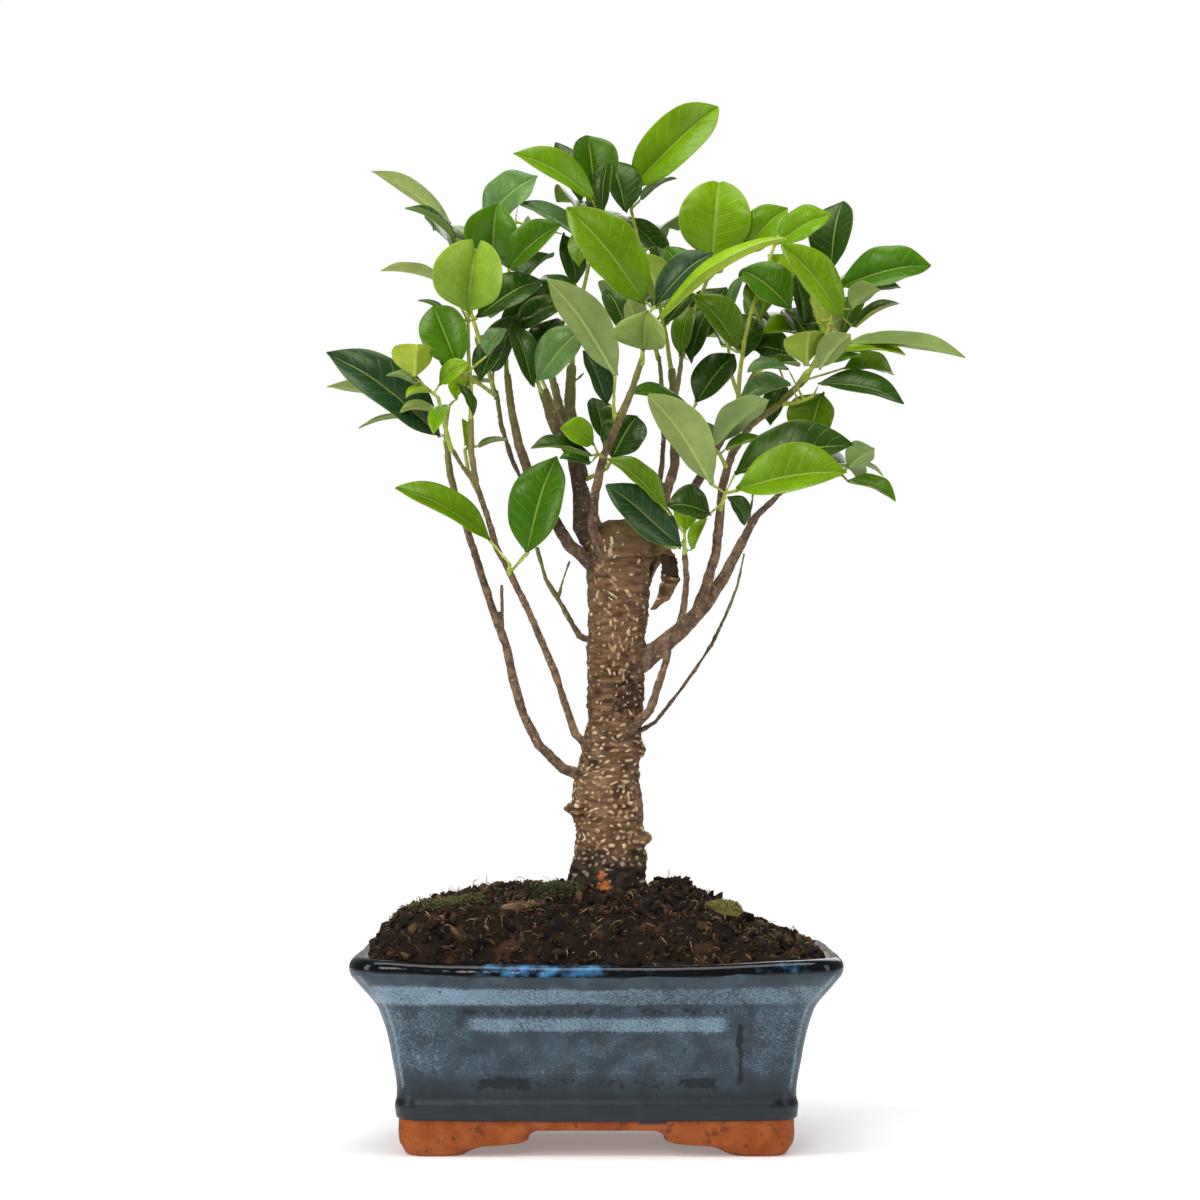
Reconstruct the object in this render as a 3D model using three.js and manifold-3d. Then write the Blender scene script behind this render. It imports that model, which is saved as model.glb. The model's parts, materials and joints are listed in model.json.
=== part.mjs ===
// A small-leaved fig bonsai in a blue-glazed stoneware pot.
// Millimetres, +Z up, the pot's long front faces -Y. The pot stands on z = 0.
import * as THREE from "three";
import { mergeVertices } from "three/addons/utils/BufferGeometryUtils.js";
import Module from "manifold-3d";

const wasm = await Module();
wasm.setup();

// ---------------------------------------------------------------- driving dimensions

const GAP = 0.3; // air kept between neighbouring pieces
const GRID = 0.002; // vertices lie on this grid
const KEPT_SHARE = 0.97; // a cut may drop no more than the rest of this share of a piece

const POT_SIDE_DIFFERENCE = 19; // the pot is this much less deep than wide, each side of its middle
const POT_CORNER = 11; // corner radius at the rim
const POT_UNDERSIDE = 8; // height of the body's underside, clear of the table
const POT_FLOOR = 14; // height of the floor inside
const DRAIN_HOLE_RADIUS = 8;
const DRAIN_HOLE_X = 30;
const SCREEN_SIDE = 24;
const SCREEN_THICKNESS = 1.2;
const SCREEN_HOLES = 3; // each way
const SCREEN_HOLE_SIDE = 6;

const TRUNK_DEPTH_RATIO = 0.92; // the trunk is slightly flatter front to back
const TRUNK_SIDES = 16;

const LIMB_STEP = 11; // distance between the sections of a branch or stem

const LEAF_THICKNESS = 0.55;
const PETIOLE_RADIUS = 0.6;
const LEAF_CAMBER = 0.07; // rise of the blade's arch, as a share of its length
const LEAF_FOLD = 0.22; // rise of each margin over the midrib, as a share of the half width
// Share of the blade's length, and share of its half width there.
const BLADE_OUTLINE = [
  [0.0, 0.12],
  [0.15, 0.68],
  [0.42, 1.0],
  [0.68, 0.92],
  [0.9, 0.5],
];

// The tree is laid out on one front elevation, drawn from a station point at eye height.
// A point's x and z are read on the trunk's own plane; depth then moves it along its line of sight,
// + to the back, so the elevation stays true at every depth.
const STATION_DISTANCE = 1045;
const STATION_X = 1;
const STATION_HEIGHT = 125;

// ---------------------------------------------------------------- geometry helpers

function onElevation([x, depth, z]) {
  const spread = (STATION_DISTANCE + depth) / STATION_DISTANCE;
  return new THREE.Vector3(
    STATION_X + (x - STATION_X) * spread,
    depth,
    STATION_HEIGHT + (z - STATION_HEIGHT) * spread,
  );
}

// A closed skin over rings of points, each counter-clockwise seen from the ring after it.
// It ends in a flat cap, or in a point where an apex is given.
function loft(rings, apex = null) {
  const count = rings[0].length;
  const points = rings.flat();
  const faces = [];
  for (let ring = 0; ring + 1 < rings.length; ring++) {
    for (let i = 0; i < count; i++) {
      const here = ring * count + i;
      const next = ring * count + ((i + 1) % count);
      faces.push(here, next, next + count, here, next + count, here + count);
    }
  }
  for (let i = 1; i + 1 < count; i++) faces.push(0, i + 1, i);
  const last = (rings.length - 1) * count;
  if (apex) {
    points.push(apex);
    for (let i = 0; i < count; i++) faces.push(last + i, last + ((i + 1) % count), points.length - 1);
  } else {
    for (let i = 1; i + 1 < count; i++) faces.push(last, last + i, last + i + 1);
  }
  const geometry = new THREE.BufferGeometry().setFromPoints(points);
  geometry.setIndex(faces);
  return geometry;
}

function solidFrom(geometry) {
  const bare = geometry.clone();
  bare.deleteAttribute("normal");
  bare.deleteAttribute("uv");
  const merged = mergeVertices(bare, 1e-4);
  return new wasm.Manifold(
    new wasm.Mesh({
      numProp: 3,
      vertProperties: merged.attributes.position.array,
      triVerts: new Uint32Array(merged.index.array),
    }),
  );
}

const snap = (value) => Math.round(value / GRID) * GRID;

// The solid's surface with its vertices on a fine grid, so that no two of them nearly touch.
function geometryFrom(solid) {
  const mesh = solid.getMesh();
  const snapped = mesh.vertProperties.map(snap);
  const loose = new THREE.BufferGeometry();
  loose.setAttribute("position", new THREE.BufferAttribute(snapped, 3));
  loose.setIndex(new THREE.BufferAttribute(mesh.triVerts, 1));
  const geometry = mergeVertices(loose, GRID / 2);
  const corners = geometry.index.array;
  const faces = [];
  for (let i = 0; i < corners.length; i += 3) {
    const [a, b, c] = corners.slice(i, i + 3);
    if (a !== b && b !== c && c !== a) faces.push(a, b, c);
  }
  geometry.setIndex(faces);
  return geometry;
}

const bodiesBySize = (solid) => solid.decompose().sort((a, b) => b.volume() - a.volume());

// The largest of the bodies that a cut leaves. Only crumbs cut off at a joint may be dropped.
function largestBody(solid, name) {
  const largest = bodiesBySize(solid)[0];
  if (largest.volume() < KEPT_SHARE * solid.volume()) throw new Error(name + " falls apart");
  return largest;
}

function boxesMeet(a, b) {
  const [boxA, boxB] = [a.boundingBox(), b.boundingBox()];
  return [0, 1, 2].every((k) => boxA.min[k] < boxB.max[k] && boxB.min[k] < boxA.max[k]);
}

const meets = (a, b) => boxesMeet(a, b) && !a.intersect(b).isEmpty();

// The smooth curve of a limb or stem, and how many sections it is built with.
function limbCourse(route) {
  const curve = new THREE.CatmullRomCurve3(route.map(onElevation), false, "centripetal");
  const steps = Math.max(2, Math.round(curve.getLength() / LIMB_STEP));
  return { curve, steps };
}

// A round tapering limb along a smooth curve through the route's points.
function limb(route, startRadius, endRadius, sides = 5, grow = 0) {
  const { curve, steps } = limbCourse(route);
  const frames = curve.computeFrenetFrames(steps);
  const rings = [];
  for (let step = 0; step <= steps; step++) {
    const along = step / steps;
    const middle = curve.getPointAt(along);
    const radius = THREE.MathUtils.lerp(startRadius, endRadius, along) + grow;
    const ring = [];
    for (let i = 0; i < sides; i++) {
      const angle = (2 * Math.PI * i) / sides;
      ring.push(
        middle
          .clone()
          .addScaledVector(frames.normals[step], radius * Math.cos(angle))
          .addScaledVector(frames.binormals[step], radius * Math.sin(angle)),
      );
    }
    rings.push(ring);
  }
  return solidFrom(loft(rings));
}

// The point of a stem's axis that is nearest to a leaf.
function nearestOnStem(route, point) {
  const { curve, steps } = limbCourse(route);
  const middles = curve.getSpacedPoints(steps);
  let best = middles[0];
  for (let step = 0; step < steps; step++) {
    const stretch = new THREE.Line3(middles[step], middles[step + 1]);
    const candidate = stretch.closestPointToPoint(point, true, new THREE.Vector3());
    if (candidate.distanceTo(point) < best.distanceTo(point)) best = candidate;
  }
  return best;
}

// ---------------------------------------------------------------- pot

// A level ring with round corners, counter-clockwise from above.
function potRing(z, halfWidth, corner, inset = 0, steps = 4) {
  const halfX = halfWidth - inset;
  const halfY = halfWidth - POT_SIDE_DIFFERENCE - inset;
  const ring = [];
  for (let quarter = 0; quarter < 4; quarter++) {
    const signX = quarter === 0 || quarter === 3 ? 1 : -1;
    const signY = quarter < 2 ? 1 : -1;
    for (let step = 0; step <= steps; step++) {
      const angle = (Math.PI / 2) * (quarter + step / steps);
      ring.push(
        new THREE.Vector3(
          signX * (halfX - corner) + corner * Math.cos(angle),
          signY * (halfY - corner) + corner * Math.sin(angle),
          z,
        ),
      );
    }
  }
  return ring;
}

// Height and half width of the outside, from the underside up to the rolled lip.
const POT_OUTSIDE = [
  [POT_UNDERSIDE, 60],
  [12.3, 61.2],
  [15.7, 61.8],
  [19.5, 61],
  [29, 62.4],
  [38.5, 64.4],
  [46, 67.5],
  [52, 72],
  [55.6, 74.6],
  [58, 75],
  [60.3, 74.2],
  [61, 72.6],
];
// Height and half width of the inside, from the floor up to the rim.
const POT_INSIDE = [
  [POT_FLOOR, 55],
  [46, 62],
  [56, 69],
  [61.5, 70],
];
// A foot seen from the front, and the same foot seen from the pot's side.
const FRONT_FOOT_OUTLINE = [
  [-60.3, 8.2],
  [-60.3, 5],
  [-57.4, 0],
  [-40.3, 0],
  [-34.8, 2.6],
  [-21, 3.8],
  [-21, 5.9],
  [-17.3, 8.2],
];
const SIDE_FOOT_OUTLINE = [
  [-41.3, 8.2],
  [-41.3, 5],
  [-38.4, 0],
  [-25, 0],
  [-20.5, 2.6],
  [-12, 3.8],
  [-12, 5.9],
  [-8.5, 8.2],
];
const PANEL_HALF_WIDTH = 44;
const PANEL_LOW = 20;
const PANEL_HIGH = 43;
const PANEL_RELIEF = 1.2;

function verticalCylinder(radius, low, high, x, sides = 20) {
  const cylinder = new THREE.CylinderGeometry(radius, radius, high - low, sides);
  cylinder.rotateX(Math.PI / 2);
  cylinder.translate(x, 0, (low + high) / 2);
  return solidFrom(cylinder);
}

// A cloud-shaped foot: its outline seen from the front, carried back by its length.
function footPrism(outline, length, turn) {
  const shape = new THREE.Shape(outline.map(([x, z]) => new THREE.Vector2(x, z)));
  const prism = new THREE.ExtrudeGeometry(shape, { depth: length, bevelEnabled: false });
  prism.rotateX(Math.PI / 2);
  prism.translate(0, length / 2, 0);
  prism.rotateZ(turn);
  return solidFrom(prism);
}

// One foot stands at each corner. It is what a front outline and a side outline have in common.
function feet() {
  const halfWidth = -FRONT_FOOT_OUTLINE[0][0];
  const halfDepth = -SIDE_FOOT_OUTLINE[0][0];
  const fromFront = footPrism(FRONT_FOOT_OUTLINE, 2 * halfDepth, 0);
  const fromSide = footPrism(SIDE_FOOT_OUTLINE, 2 * halfWidth + 2, Math.PI / 2);
  const corner = fromFront.intersect(fromSide);
  const pair = corner.add(corner.mirror([1, 0, 0]));
  return pair.add(pair.mirror([0, 1, 0]));
}

// The soft raised panel on the long sides, widest at its top.
function panel() {
  const reach = 4;
  const rings = [
    [PANEL_LOW, PANEL_HALF_WIDTH - 7, 61.5],
    [PANEL_LOW + 3, PANEL_HALF_WIDTH - 6, 61.3 + PANEL_RELIEF],
    [PANEL_HIGH - 5, PANEL_HALF_WIDTH - 1, 64.2 + PANEL_RELIEF],
    [PANEL_HIGH, PANEL_HALF_WIDTH, 66],
  ].map(([z, halfX, halfWidth]) => {
    const face = halfWidth - POT_SIDE_DIFFERENCE;
    return [
      new THREE.Vector3(-halfX, -face, z),
      new THREE.Vector3(halfX, -face, z),
      new THREE.Vector3(halfX, -face + reach, z),
      new THREE.Vector3(-halfX, -face + reach, z),
    ];
  });
  return solidFrom(loft(rings));
}

function potSolid() {
  const outside = solidFrom(loft(POT_OUTSIDE.map(([z, half]) => potRing(z, half, POT_CORNER))));
  const inside = solidFrom(loft(POT_INSIDE.map(([z, half]) => potRing(z, half, POT_CORNER - 4))));
  const front = panel();
  let pot = outside.add(feet()).add(front).add(front.mirror([0, 1, 0])).subtract(inside);
  for (const x of [-DRAIN_HOLE_X, DRAIN_HOLE_X]) {
    pot = pot.subtract(verticalCylinder(DRAIN_HOLE_RADIUS, 0, POT_FLOOR + 5, x));
  }
  return pot;
}

// A square of plastic mesh that keeps the soil from washing out of a drain hole.
function drainScreen(x) {
  const low = POT_FLOOR + GAP;
  const plate = new THREE.BoxGeometry(SCREEN_SIDE, SCREEN_SIDE, SCREEN_THICKNESS);
  plate.translate(x, 0, low + SCREEN_THICKNESS / 2);
  let screen = solidFrom(plate);
  const pitch = SCREEN_SIDE / SCREEN_HOLES;
  for (let i = 0; i < SCREEN_HOLES; i++) {
    for (let j = 0; j < SCREEN_HOLES; j++) {
      const hole = new THREE.BoxGeometry(SCREEN_HOLE_SIDE, SCREEN_HOLE_SIDE, 4 * SCREEN_THICKNESS);
      const middle = (SCREEN_HOLES - 1) / 2;
      hole.translate(x + (i - middle) * pitch, (j - middle) * pitch, low);
      screen = screen.subtract(solidFrom(hole));
    }
  }
  return screen;
}

// ---------------------------------------------------------------- trunk

// Height, sideways middle and half width of the trunk, from its foot in the soil to the healed cut.
const TRUNK_SECTIONS = [
  [54, 4, 17],
  [68, 4, 16],
  [77, 4, 14],
  [83, 4, 12.2],
  [90, 4.3, 10.8],
  [98, 4, 10.6],
  [106, 3.5, 11],
  [113, 3, 10.6],
  [120, 4, 9.6],
  [133, 6, 9],
  [146, 6, 9.1],
  [157, 5.9, 9.3],
  [168, 7.2, 9.4],
  [179, 7.6, 10.5],
  [186, 8.4, 12.2],
  [191, 9, 12.2],
  [194.5, 9.8, 10],
  [196.3, 10.5, 6],
];

// The bark swells in three slow ribs that wind a little as they rise.
function trunkRing([z, middle, halfWidth], grow) {
  const ring = [];
  for (let i = 0; i < TRUNK_SIDES; i++) {
    const angle = (2 * Math.PI * i) / TRUNK_SIDES;
    const swell = 1 + 0.035 * Math.sin(3 * angle + z / 17) + 0.02 * Math.sin(5 * angle - z / 9);
    const reach = halfWidth * swell + grow;
    ring.push(
      new THREE.Vector3(
        middle + reach * Math.cos(angle),
        reach * TRUNK_DEPTH_RATIO * Math.sin(angle),
        z,
      ),
    );
  }
  return ring;
}

// Healed stubs that stand out of the trunk: middle, and half width, depth and height.
const KNOTS = [
  [[-6, -3, 106], [5, 5, 6]],
  [[12, -4, 124], [4.6, 4, 5]],
  [[14, -2, 94], [5, 5, 5]],
  [[7, -9, 150], [4, 3, 6]],
];

function knot([x, y, z], [halfX, halfY, halfZ], grow) {
  const ball = new THREE.SphereGeometry(1, 9, 6);
  ball.rotateX(Math.PI / 2);
  ball.scale(halfX + grow, halfY + grow, halfZ + grow);
  ball.translate(x, y, z);
  return solidFrom(ball);
}

function trunkSolid(grow) {
  const column = solidFrom(loft(TRUNK_SECTIONS.map((section) => trunkRing(section, grow))));
  return KNOTS.reduce((sum, [middle, half]) => sum.add(knot(middle, half, grow)), column);
}

// The strip of dead bark that peels off the shoulder of the cut.
function barkFlap(grow) {
  const spine = [
    [20, -5, 189, 2.5],
    [23, -6, 183, 3.4],
    [23.5, -6.5, 177, 3.2],
    [21, -6, 171, 2.2],
    [18, -5, 168, 0.8],
  ];
  const rings = spine.map(([x, y, z, half]) => [
    new THREE.Vector3(x - half - grow, y - 0.9 - grow, z),
    new THREE.Vector3(x + half + grow, y - 0.9 - grow, z),
    new THREE.Vector3(x + half + grow, y + 0.9 + grow, z),
    new THREE.Vector3(x - half - grow, y + 0.9 + grow, z),
  ]);
  return solidFrom(loft(rings.reverse()));
}

// ---------------------------------------------------------------- soil and what lies on it

// Height and half width of the soil: it fills the pot, then mounds up to the trunk.
const SOIL_SECTIONS = [
  [POT_FLOOR + GAP, 54.6],
  [46, 61.6],
  [56, 68.6],
  [61, 69],
  [65.5, 66],
  [70, 60],
  [74, 49],
  [77.5, 37],
  [80, 28],
];
const SOIL_BRIM = 62; // above this height the soil is a free mound
const SOIL_TILT = 0.035; // the mound is banked up on its left

function soilSolid(grow) {
  const rings = SOIL_SECTIONS.map(([z, half], level) =>
    potRing(z, half, Math.min(POT_CORNER - 4 + level, 0.4 * half), 0).map((point) => {
      if (z < SOIL_BRIM) return point;
      const lumps = 0.8 * Math.sin(point.x / 5 + z) * Math.cos(point.y / 6 - z);
      return point.setZ(z + lumps - SOIL_TILT * point.x + grow);
    }),
  );
  return solidFrom(loft(rings));
}

// A low cushion that follows the soil: what an ellipsoid keeps above it.
function cushion([x, y, z], [halfX, halfY, halfZ], turn) {
  const ball = new THREE.SphereGeometry(1, 10, 6);
  ball.scale(halfX, halfY, halfZ);
  ball.rotateZ(turn);
  ball.translate(x, y, z);
  return solidFrom(ball);
}

// ---------------------------------------------------------------- branches

// Each limb: its route on the elevation, the radius where it starts and the radius where it ends.
const BRANCHES = {
  branch_left_low: [
    [[[0, -2, 114], [-7, -2, 115.5], [-13, -3, 119], [-18, -4, 124.5], [-23, -5, 134], [-26.5, -6, 146],
      [-29, -6, 157.5], [-34.5, -7, 172], [-38, -7, 184], [-43, -8, 198], [-46, -8, 208], [-47.5, -8, 217],
      [-48, -9, 222]], 2, 1.2],
    [[[-30, -6, 160], [-30, -6.5, 168], [-30.2, -7, 176]], 0.9, 0.7],
  ],
  branch_left_middle: [
    [[[0, -5, 121], [-5.5, -7, 126], [-10, -8, 138], [-13, -9, 147.5], [-17.5, -10, 158], [-23, -11, 170.5],
      [-27.5, -12, 179.5], [-32, -13, 188], [-36, -14, 202], [-39, -15, 210], [-40, -17, 221],
      [-40, -18, 229]], 1.5, 1.1],
    [[[-39, -15, 209], [-43, -16, 214], [-46, -17, 219]], 1, 0.8],
  ],
  branch_left_high: [
    [[[0, -4, 181], [-7.5, -5, 187], [-12, -5, 194], [-16, -5, 201], [-21, -5, 210], [-25, -5, 221],
      [-27, -5, 231], [-28.5, -5, 243]], 2.6, 1.3],
    [[[-14, -3, 197], [-22.5, -1, 206], [-27, 0, 216], [-30, 0, 225], [-32, 0, 238]], 1, 0.9],
  ],
  twig_left: [
    [[[3, 0, 154], [-4, 1, 158], [-8.5, 2, 164.5], [-13, 2, 173], [-18, 2, 181], [-19, 2, 188]], 1.2, 0.9],
    [[[-12, 2, 172], [-10.5, 2, 178], [-8.5, 2, 183.5]], 0.6, 0.5],
  ],
  branch_centre_dark: [
    [[[1, 0, 184], [-4, 0, 192], [-5.5, 0, 202], [-5, 0, 211], [-9, -2, 220], [-14, -5, 228],
      [-17, -9, 238]],
      3.8, 1.9],
    [[[-5, 0, 210], [-7.5, 4, 222], [-8.5, 6, 234], [-8, 7, 246]], 2.8, 1.6],
    [[[-8.5, 6, 240], [-6, 6, 241.5], [-4, 6, 243.5]], 0.6, 0.4],
  ],
  branch_centre_pale: [
    [[[2, -7, 183], [-1, -8.5, 191], [-1, -10, 200], [1, -12, 213], [3.5, -15, 220], [8, -19, 230],
      [12, -24, 240],
      [14.5, -29, 248]], 1.9, 1.2],
  ],
  branch_back_left: [
    [[[3, 3, 187], [-4, 16, 205], [-11, 26, 230], [-16, 32, 249]], 2.4, 1.4],
  ],
  branch_back_middle: [
    [[[12, 4, 190], [17, 12, 196], [24, 18, 209], [25, 22, 225], [24, 24, 245]], 2.2, 1.5],
    [[[17, 10, 195], [19.5, 16, 204], [21, 18, 215], [21.5, 20, 228], [20, 22, 249]], 1.2, 0.9],
    [[[24.5, 23, 234], [26.5, 12, 243], [27.5, 6, 251]], 1.3, 1],
  ],
  branch_back_right: [
    [[[10, 3, 168], [20, 18, 186], [33, 32, 210], [47, 40, 236], [54, 44, 251]], 2.4, 1.3],
  ],
  branch_right_low: [
    [[[9, -2, 147], [18, -3, 154], [24.5, -4, 159.5], [31, -4, 165.5], [38.5, -5, 175],
      [45, -5, 187], [49, -6, 195],
      [54, -7, 201.5], [59, -8, 205.5]], 4, 1],
    [[[26, -5, 161], [28, -10, 170], [28.7, -15, 179], [28, -19, 186]], 1.5, 1.1],
    [[[31, -4, 166], [35, -9, 176], [38, -14, 186], [39, -18, 195], [39.5, -19, 203],
      [41, -18, 212], [45, -15, 221],
      [51, -13, 229], [59, -13, 234], [66, -14, 241]], 1.9, 1.2],
    [[[10, -6, 129], [16.5, -6, 135], [20, -6, 145], [23, -5, 155]], 1.7, 1.3],
    [[[48, -6, 193], [49, -4, 199], [50, -3, 206]], 0.7, 0.5],
  ],
  twig_right: [
    [[[10, -3, 127], [16.5, -5, 130.5], [21, -4, 134.5], [25.5, -2, 141], [32.5, 0, 150.5], [38, 2, 159.5],
      [42.5, 3, 169.5], [46, 4, 179.5], [47, 4, 186]], 0.9, 0.6],
  ],
};

// ---------------------------------------------------------------- leafy shoots

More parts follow.
